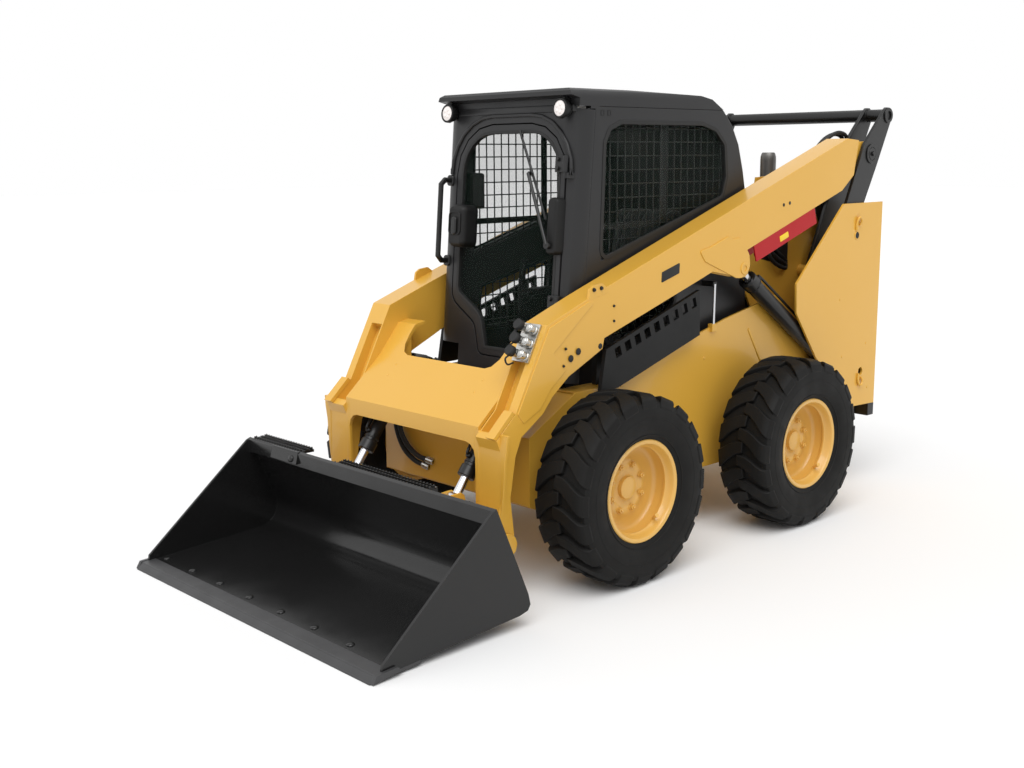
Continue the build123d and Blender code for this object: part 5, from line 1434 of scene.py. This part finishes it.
@dataclass
class Linkage(Assembly):
    """Dress of the links and cylinders: pin bosses, glands, ports and hard lines.

    Attributes:
        outer_y: Outer face of the links.
        tail: X and Z of the arms' tail pins.
        tube: X and Z of the links' cross tube.
        lift: Foot and head of the lift cylinders in side view, then their Y and barrel's radius.
        tilt: The same of the tilt cylinders.
        lift_shows: Length of lift rod that shows at rest.
        tilt_shows: Length of tilt rod that shows at rest.
    """

    outer_y: float = 592.0
    tail: Point2 = (-928.0, 1822.0)
    tube: Point2 = (-1082.0, 2027.0)
    lift: tuple[Point2, Point2, float, float] = ((-620.0, 720.0), (199.0, 1279.0), 548.0, 42.0)
    tilt: tuple[Point2, Point2, float, float] = ((1560.0, 807.0), (1866.0, 404.0), 352.0, 34.0)
    lift_shows: float = 112.0
    tilt_shows: float = 108.0

    def bosses(self) -> None:
        """Turned bosses, keeper plates and bolts at the rear links' pins."""
        form, bolts = Form(), Form()
        keeper = rounded([(-975, 1800), (-905, 1860), (-892, 1846), (-962, 1786)], [8] * 4, 2)
        levels = [(0, self.outer_y), (0, self.outer_y + 4), (1, self.outer_y + 5)]
        for out in OUTWARDS:
            away = Vector((0, out, 0))
            y = out * self.outer_y
            form.collar((self.tail[0], y, self.tail[1]), away, 52, 36, -1, 7)
            form.collar((self.tail[0], y, self.tail[1]), away, 34, 14, -1, 9)
            form.collar((self.tube[0], y, self.tube[1]), away, 41, 24, -1, 8)
            bolts.bolt((self.tail[0], y + out * 4, self.tail[1]), away, 22)
            form.raised(keeper, levels, side_view(out))
        form.piece(self.shop, "link_bosses", BLACK, "rear_link_frame", "black_paint", sharp=40)
        bolts.piece(self.shop, "link_bolts", BLACK, "rear_link_frame", "black_paint", round_edge=0.6)

    def cylinder(self, name: str, body: str, sizes: tuple[Point2, Point2, float, float],
                 shows: float) -> None:
        """Gland nut, base weld, ports and the hard line of a pair of cylinders.

        Args:
            name: Start of the pieces' names.
            body: Body of the barrels.
            sizes: Foot, head, Y and barrel's radius.
            shows: Length of rod that shows.
        """
        foot, head, y, radius = sizes
        way = Vector((head[0] - foot[0], 0, head[1] - foot[1]))
        length = way.length - shows
        way.normalize()
        side = Vector((-way.z, 0, way.x))
        form, lines = Form(), Form()
        for out in OUTWARDS:
            start = Vector((foot[0], out * y, foot[1]))
            form.collar(start + way * length, way, radius + 5, radius - 12, -46, 3)
            form.collar(start + way * (length - 62), way, radius + 2.5, radius - 4, -4, 4)
            form.collar(start + way * 96, way, radius + 3, radius - 4, -8, 8)
            near, far = (start + way * t + side * (radius + 8) for t in (118, length - 84))
            for port in (near, far):
                form.collar(port - side * 14, side, 13, 4, 0, 20)
            lines.tube(smooth_path([near + side * 4, near + side * 14 + way * 16,
                                    near.lerp(far, 0.5) + side * 14,
                                    far + side * 14 - way * 16, far + side * 4]), 7, 10)
        form.piece(self.shop, f"{name}_glands", BLACK, body, "black_paint", sharp=40)
        lines.piece(self.shop, f"{name}_lines", BLACK, body, "black_paint", sharp=60)

    def build(self) -> None:
        """Build all of the linkage's pieces."""
        self.bosses()
        self.cylinder("lift_cylinder", "lift_cylinders", self.lift, self.lift_shows)
        self.cylinder("tilt_cylinder", "tilt_cylinders", self.tilt, self.tilt_shows)


@dataclass
class Bucket(Assembly):
    """Dress of the bucket and coupler: toothed steps, edge bolts, side wear strips, the pale edge face
    painted light, and levers.

    Attributes:
        half_width: Half of the bucket's width.
        edge: X and Z of the floor's front end.
        heel: X and Z where floor and back meet.
        lip: X and Z of the back's top.
        step_y: Ends of the teeth on the back's own step.
        side_step_y: Ends of the step plate beside it.
        bolts: Bolts along the cutting edge.
        lever_y: Y of the coupler's levers.
        wedge: X and Z of the lock wedges' feet.
        lean: Run and rise of the coupler's leaning face.
        body: Body that all of it rides on.
    """

    half_width: float = 870.0
    edge: Point2 = (2690.0, 21.0)
    heel: Point2 = (1912.0, 70.0)
    lip: Point2 = (2104.0, 512.0)
    step_y: Point2 = (-200.0, 430.0)
    side_step_y: Point2 = (-840.0, -440.0)
    bolts: int = 8
    lever_y: float = 272.0
    wedge: Point2 = (1978.0, 300.0)
    lean: Point2 = (0.398, 0.917)
    body: str = "bucket"

    def steps(self) -> None:
        """Rows of raised teeth on the back's step, and the plate beside it with its bracket and teeth."""
        form = Form()
        x, top = self.lip[0], self.lip[1] - 10
        low, high = self.side_step_y
        form.prism([(x - 78, top), (x + 4, top), (x + 4, top + 12), (x - 78, top + 12)], low, high)
        bracket = [(x + 3, top - 44), (x + 24, top - 44), (x + 10, top + 12), (x + 3, top + 12)]
        form.prism(bracket, high - 210, high)
        form.dome((x + 19, high - 46, top - 24), Vector((1, 0, 0.3)), 17, 9)
        for (low, high), foot in ((self.step_y, top), (self.side_step_y, top + 12)):
            count = round((high - low) / 21)
            for i in range(count):
                y = low + (high - low) * (i + 0.5) / count
                for k, row in enumerate((x - 72, x - 44, x - 16)):
                    shift = y + (5 if k % 2 else -5)
                    tooth = [(row - 8, foot - 1), (row + 8, foot - 1), (row + 6, foot + 9), (row, foot + 5),
                             (row - 6, foot + 9)]
                    form.prism(tooth, max(shift - 4, low), min(shift + 4, high))
        form.piece(self.shop, "bucket_step_teeth", BUCKET_BLACK, self.body, "bucket_steel", round_edge=0.8)

    def edge_plates(self) -> None:
        """Round plough bolts along the edge, its pale face painted light for the lit top, and strips along
        the sides.
        """
        run = Vector((self.heel[0] - self.edge[0], 0, self.heel[1] - self.edge[1])).normalized()
        up = Vector((run.z, 0, -run.x))
        start = Vector((self.edge[0], 0, self.edge[1]))

        def drawn(points: Sequence[Point2]) -> list[Point2]:
            """Side view of points given by distance back from the edge and height over the floor."""
            spots = [start + run * back + up * high for back, high in points]
            return [(spot.x, spot.z) for spot in spots]

        form = Form()
        base = start + run * 102 + up * 6
        for i in range(self.bolts):
            y = (i / (self.bolts - 1) - 0.5) * 2 * (self.half_width - 48)
            form.dome((base.x, y, base.z), up, 17, 8)
        form.piece(self.shop, "edge_bolts", BUCKET_BLACK, self.body, "edge_steel", sharp=40)
        form = Form()
        # Pale face on the edge's top, its grey painted light for the light that falls there.
        face = drawn(((-21, -17), (4, 9.5), (66, 9.5), (71, 5), (4, 5), (-3, -8)))
        form.prism(face, -self.half_width, self.half_width)
        end = drawn(((-20, -17), (0, 12), (96, 12), (112, -8), (20, -14)))
        for out in OUTWARDS:
            form.prism(end, out * (self.half_width - 3), out * (self.half_width + 15))
        form.piece(self.shop, "edge_wear_face", EDGE, self.body, "edge_steel", round_edge=1.5)
        form = Form()
        strip = rounded([(2640, 36), (2634, 62), (1960, 100), (1962, 74)], [8] * 4, 2)
        levels = [(0, self.half_width - 2), (0, self.half_width - 0.6), (1, self.half_width - 0.1)]
        for out in OUTWARDS:
            form.raised(strip, levels, side_view(out))
        form.piece(self.shop, "bucket_wear_strips", BUCKET_BLACK, self.body, "bucket_steel", sharp=40)

    def coupler_face(self, y: float) -> Lift:
        """Lift for outlines on the coupler's leaning rear face, about the wedge's foot at a Y."""
        (x, z), (run, rise) = self.wedge, self.lean
        return lambda a, b, w: Vector((x - w * rise + b * run, y + a, z + w * run + b * rise))

    def levers(self) -> None:
        """Coupler's lock levers and their wedges, beside the arms' feet."""
        form = Form()
        bend = ((1986, 0, 380), (1966, 0, 398), (1950, 24, 436), (1962, 50, 456), (1978, 70, 460))
        for out in OUTWARDS:
            y = out * self.lever_y
            path = smooth_path([(x, y - out * inward, z) for x, inward, z in bend])
            form.tube(path, 9, 12)
            form.dome(path[-1], (path[-1] - path[-2]).normalized(), 14, 12)
            wedge = box_outline((0, 0), (46, 96), 10)
            form.raised(wedge, [(0, 0), (0, 22), (4, 28), (10, 30)], self.coupler_face(y))
        form.piece(self.shop, "coupler_levers", BLACK, self.body, "black_paint", round_edge=1.0)

    def build(self) -> None:
        """Build all of the bucket's pieces."""
        self.steps()
        self.edge_plates()
        self.levers()


@dataclass
class Tail(Assembly):
    """Dress of the towers, valve bank, engine door, hood and bumper.

    Attributes:
        panel_y: Outer face of the towers.
        rear_x: Rear face of the engine door.
        door_z: Height of the engine door's middle.
        latch_y: Y of the engine door's latch, seen from behind.
        bumper_x: Rear face of the tail lamps' housings.
        hood_top: Top of the hood.
        grab_x: X of the hood's grab.
        exhaust: X, Y and height of the exhaust's mouth.
        grommet: X and Z of the towers' grommets.
    """

    panel_y: float = 614.0
    rear_x: float = -1062.0
    door_z: float = 985.0
    latch_y: float = 310.0
    bumper_x: float = -1103.0
    hood_top: float = 1595.0
    grab_x: float = -985.0
    exhaust: Point3 = (-800.0, 17.0, 1835.0)
    grommet: Point2 = (-782.0, 1392.0)

    @staticmethod
    def behind(x: float) -> Lift:
        """Lift for outlines drawn from behind, with heights measured back from a plane at X."""
        return front_view(Matrix.Translation((x, 0, 0)) @ Matrix.Rotation(math.pi, 4, "Z"))

    def hooks(self) -> None:
        """Bent-rod tie-down hooks, plugs and grommets on the towers' sides."""
        form, plugs, grommets = Form(), Form(), Form()
        bend = ((10, 0, -28), (12, 0, 8), (2, 6, 36), (-14, 8, 38), (-26, 6, 18), (-22, 0, -4))
        for out in OUTWARDS:
            away, face = Vector((0, out, 0)), out * (self.panel_y + 5)
            for x, z, turn in ((-780, 1448, 1), (-857, 604, -1)):
                path = [(x + ahead, face + out * proud, z + turn * rise) for ahead, proud, rise in bend]
                form.tube(smooth_path(path), 6.5, 10)
            for x, z in ((-640, 1055), (-683, 742), (-923, 792), (-955, 540)):
                plugs.dome((x, out * self.panel_y, z), away, 7, 3)
            x, z = self.grommet
            form.collar((x, out * self.panel_y, z), away, 24, 18, -1, 3)
            grommets.dome((x, out * (self.panel_y - 1), z), away, 19, 5)
        form.piece(self.shop, "tower_hooks", YELLOW, "chassis", "yellow_paint", sharp=50)
        plugs.piece(self.shop, "tower_plugs", YELLOW, "chassis", "yellow_paint", sharp=40)
        grommets.piece(self.shop, "tower_grommets", SEAL, "chassis", sharp=40)

    def valves(self) -> None:
        """Covers of the valve bank between cab and towers, with the hoses that cross them."""
        form = Form()
        cover = rounded([(-470, 1235), (-170, 1300), (-170, 1490), (-470, 1490)], [30] * 4, 4)
        for out in OUTWARDS:
            form.raised(cover, [(0, 383), (0, 388), (3, 391)], side_view(out))
            for k in range(3):
                end, y = out * 390, out * (400 + 10 * k)
                form.tube(smooth_path([
                    (-200, end, 1470 - 60 * k), (-220, y, 1440 - 50 * k), (-300, y, 1360 - 46 * k),
                    (-400, y, 1290 - 30 * k), (-455, end, 1262 - 10 * k)]), 11, 10)
        form.piece(self.shop, "valve_covers", PLASTIC, "chassis", "black_plastic", sharp=50)

    def door(self) -> None:
        """Louvre blades, raised border and latch of the engine door."""
        lift, x = self.behind(self.rear_x), self.rear_x
        form = Form()
        border = box_outline((0, self.door_z), (690, 960), 40)
        form.band(border, inset(border, 26), -1, 5, lift)
        form.piece(self.shop, "engine_door_border", BLACK, "engine_door", "black_paint", round_edge=1.5)
        form = Form()
        for i in range(9):
            z = self.door_z - 300 + 70 * i
            form.prism([(x + 4, z + 27), (x + 1, z + 27), (x + 20, z + 2), (x + 23, z + 2)], -271, 267)
        form.piece(self.shop, "engine_door_blades", BLACK, "engine_door", "black_paint", round_edge=0.8)
        form = Form()
        latch = (self.latch_y, self.door_z)
        form.raised(box_outline(latch, (56, 150), 18), [(0, 3), (0, 12), (4, 16), (10, 17)], lift)
        form.raised(box_outline(latch, (30, 96), 12), [(0, 16), (0, 26), (4, 30), (9, 31)], lift)
        form.piece(self.shop, "engine_door_latch", PLASTIC, "engine_door", "black_plastic", round_edge=1.0)

    def lamps(self) -> None:
        """Red lenses and their rims on the bumper."""
        lift = self.behind(self.bumper_x)
        lenses, rims = Form(), Form()
        for out in OUTWARDS:
            shape = box_outline((out * 490, 415), (108, 50), 10)
            lenses.raised(inset(shape, 4), [(0, -1), (0, 4), (3, 7), (8, 8)], lift)
            rims.band(shape, inset(shape, 4), -1, 6, lift)
        lenses.piece(self.shop, "tail_lenses", RED_LENS, "chassis", sharp=50)
        rims.piece(self.shop, "tail_lamp_rims", PLASTIC, "chassis", "black_plastic", round_edge=1.0)

    def stack(self) -> None:
        """Exhaust stub with a rolled mouth and a foot ring, and the hood's grab."""
        x, y, z = self.exhaust
        base, place = self.hood_top, Matrix.Translation((x, y, 0))
        form = Form()
        form.lathe([(38, base), (44, base), (44, z - 42), (43, z - 24), (38, z - 8), (33, z - 1), (29, z - 2),
                    (34, z - 12), (38, z - 28), (39, z - 60)], 40, place)
        form.lathe([(44, base), (60, base), (60, base + 6), (44, base + 7)], 40, place)
        form.piece(self.shop, "exhaust_stub", STACK, "hood", "black_paint", ["exhaust_stack"], sharp=45)
        form = Form()
        bow = ((-70, -1), (-68, 26), (-40, 34), (40, 34), (68, 26), (70, -1))
        form.tube(smooth_path([(self.grab_x, across, base + rise) for across, rise in bow], 5), 8, 12)
        form.piece(self.shop, "hood_grab", BLACK, "hood", "black_paint", sharp=60)

    def build(self) -> None:
        """Build all of the tail's pieces."""
        self.hooks()
        self.valves()
        self.door()
        self.lamps()
        self.stack()


@dataclass
class Chassis(Assembly):
    """Dress of the lower frame: seams, bolts, panel struts, the front step and hoses.

    Attributes:
        side_y: Outer face of the frame's sides.
        axles: X of the rear and the front axle.
        axle_z: Height of the axles.
        flange: Thickness of the axle housings' flanges.
        flange_circle: Radius of the flanges' bolt circle.
        flange_bolts: Bolts in each flange.
        step_half: Half of the front step's width.
    """

    side_y: float = 500.0
    axles: Point2 = (0.0, 1250.0)
    axle_z: float = 417.0
    flange: float = 15.0
    flange_circle: float = 96.0
    flange_bolts: int = 8
    step_half: float = 330.0

    def sides(self) -> None:
        """Seam strips, axle flange bolts and plugs."""
        form, bolts = Form(), Form()
        seam = rounded([(26, 952), (-90, 772), (-104, 780), (14, 962)], [3] * 4, 2)
        levels = [(0, self.side_y - 1), (0, self.side_y + 3), (2, self.side_y + 4)]
        for out in OUTWARDS:
            away = Vector((0, out, 0))
            form.raised(seam, levels, side_view(out))
            for x in self.axles:
                for i in range(self.flange_bolts):
                    turn = math.tau * (i + 0.5) / self.flange_bolts
                    spot = (x + self.flange_circle * math.cos(turn), out * (self.side_y + self.flange),
                            self.axle_z + self.flange_circle * math.sin(turn))
                    bolts.bolt(spot, away, 18)
            for x, z in ((377, 848), (1150, 742), (980, 790)):
                bolts.dome((x, out * self.side_y, z), away, 7, 4)
        form.piece(self.shop, "frame_seams", YELLOW, "chassis", "yellow_paint", sharp=40)
        bolts.piece(self.shop, "frame_bolts", YELLOW, "chassis", "yellow_paint", round_edge=0.6)

    def struts(self) -> None:
        """Plated struts in front of the black panels, from the frame's edge to the cab's wall."""
        form, foot, head = Form(), Form(), Form()
        for out in OUTWARDS:
            form.tube([Vector((320, out * 508, 985)), Vector((314, out * 508, 1206))], 7, 14)
            foot.slab((320, out * 502, 992), (34, 30, 40))
            head.slab((313, out * 474, 1206), (30, 72, 26))
        form.piece(self.shop, "cover_struts", CHROME, "chassis", "rod_chrome", sharp=60)
        foot.piece(self.shop, "cover_strut_feet", YELLOW, "chassis", "yellow_paint", round_edge=3.0)
        head.piece(self.shop, "cover_strut_heads", BLACK, "chassis", "black_paint", round_edge=3.0)

    def step(self) -> None:
        """Toothed step plate at the cab's foot, on two brackets."""
        form = Form()
        form.prism([(1262, 802), (1378, 802), (1378, 814), (1262, 814)], -self.step_half, self.step_half)
        for y in (-260, 260):
            form.prism([(1285, 803), (1372, 803), (1372, 745), (1285, 796)], y - 6, y + 6)
        for row in range(3):
            x = 1312 + 24 * row
            tooth = [(x - 8, 813), (x + 8, 813), (x + 6, 826), (x, 821), (x - 6, 826)]
            for i in range(29):
                y = -308 + 22 * i + (11 if row % 2 else 0)
                form.prism(tooth, y - 4, y + 4)
        form.piece(self.shop, "step_tread", BLACK, "chassis", "black_paint", round_edge=0.8)

    def hoses(self) -> None:
        """Hoses behind the front legs, with plated fittings at their ends."""
        hoses, ends = Form(), Form()
        routes = (
            [(1580, -392, 640), (1592, -384, 560), (1596, -330, 470), (1594, -250, 420), (1576, -180, 400)],
            [(1580, -360, 636), (1594, -352, 560), (1598, -300, 490), (1596, -220, 446), (1576, -150, 430)],
            [(1580, 380, 636), (1592, 384, 580), (1596, 350, 500), (1590, 300, 470), (1576, 270, 470)])
        for route in routes:
            hoses.tube(smooth_path(route), 12, 12)
            for spot, near in ((route[0], route[1]), (route[-1], route[-2])):
                way = (Vector(near) - Vector(spot)).normalized()
                ends.collar(spot, way, 17, 6, -14, 26)
        hoses.piece(self.shop, "front_hoses", SEAL, "chassis", sharp=60)
        ends.piece(self.shop, "front_hose_ends", ZINC, "chassis", sharp=40)

    def build(self) -> None:
        """Build all of the frame's pieces."""
        self.sides()
        self.struts()
        self.step()
        self.hoses()


def dress_nodes(shop: Workshop) -> None:
    """Give every carried-over node its finish and its broken edges.

    Args:
        shop: The shared workshop.
    """
    finishes = {
        YELLOW: ("tower_left", "tower_right", "arm_left", "arm_right", "arm_crossmember", "chassis_frame",
                 "rear_deck", "coupler"),
        CAB_GREY: ("cab_side_left", "cab_side_right", "cab_front_frame", "cab_rear", "cab_door", "cab_floor",
                   "seat_base", "cab_roof"),
        BLACK: ("rear_links", "control_links", "lift_barrels", "tilt_barrels", "rear_bumper", "rear_hinges",
                "grab_handle", "axles_front", "axles_rear", "exhaust_stack", "engine_hood", "rear_door"),
        PLASTIC: ("side_covers", "consoles", "roof_lamps"),
        BUCKET_BLACK: ("bucket_shell",),
        # The cutting edge takes the pale grey that is painted light for its lit top face.
        EDGE: ("cutting_edge",),
        CHROME: ("lift_rods", "tilt_rods"),
        RED: ("lift_brace",),
        GLASS: ("cab_glass", "door_glass"),
        CLOTH: ("seat_cushion", "seat_back"),
        IRON: ("engine_block",),
        ALLOY: ("cooling_pack",),
    }
    edges = {"cab_glass": 0, "door_glass": 0, "lift_rods": 1, "tilt_rods": 1, "cab_roof": 12,
             "cab_side_left": 5, "cab_side_right": 5, "arm_left": 4, "arm_right": 4,
             "tower_left": 4, "tower_right": 4}
    for finish, nodes in finishes.items():
        for node in nodes:
            shop.dress(node, finish, edges.get(node, 2.5))


def main() -> None:
    """Build the studio, then each sub-assembly in order."""
    logging.basicConfig(level=logging.INFO, format="%(name)s: %(message)s")
    for name in ("Cube", "Light", "Camera"):
        if name in bpy.data.objects:
            bpy.data.objects.remove(bpy.data.objects[name])
    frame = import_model()
    low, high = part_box("tyre_rear_left")
    shop = Workshop(frame, Datum((low.x + high.x) / 2))
    Studio(shop).build()
    dress_nodes(shop)
    wheelbase = (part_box("tyre_front_left")[0].x - low.x) / MM
    for end, axle_x in ((End.FRONT, wheelbase), (End.REAR, 0.0)):
        for side in Side:
            Wheel(shop, end, side, axle_x).build()
    for kind in (Cab, Seat, Arms, Linkage, Bucket, Tail, Chassis):
        kind(shop).build()
    log.info("%d pieces made", len(shop.made))


if __name__ == "__main__":
    main()
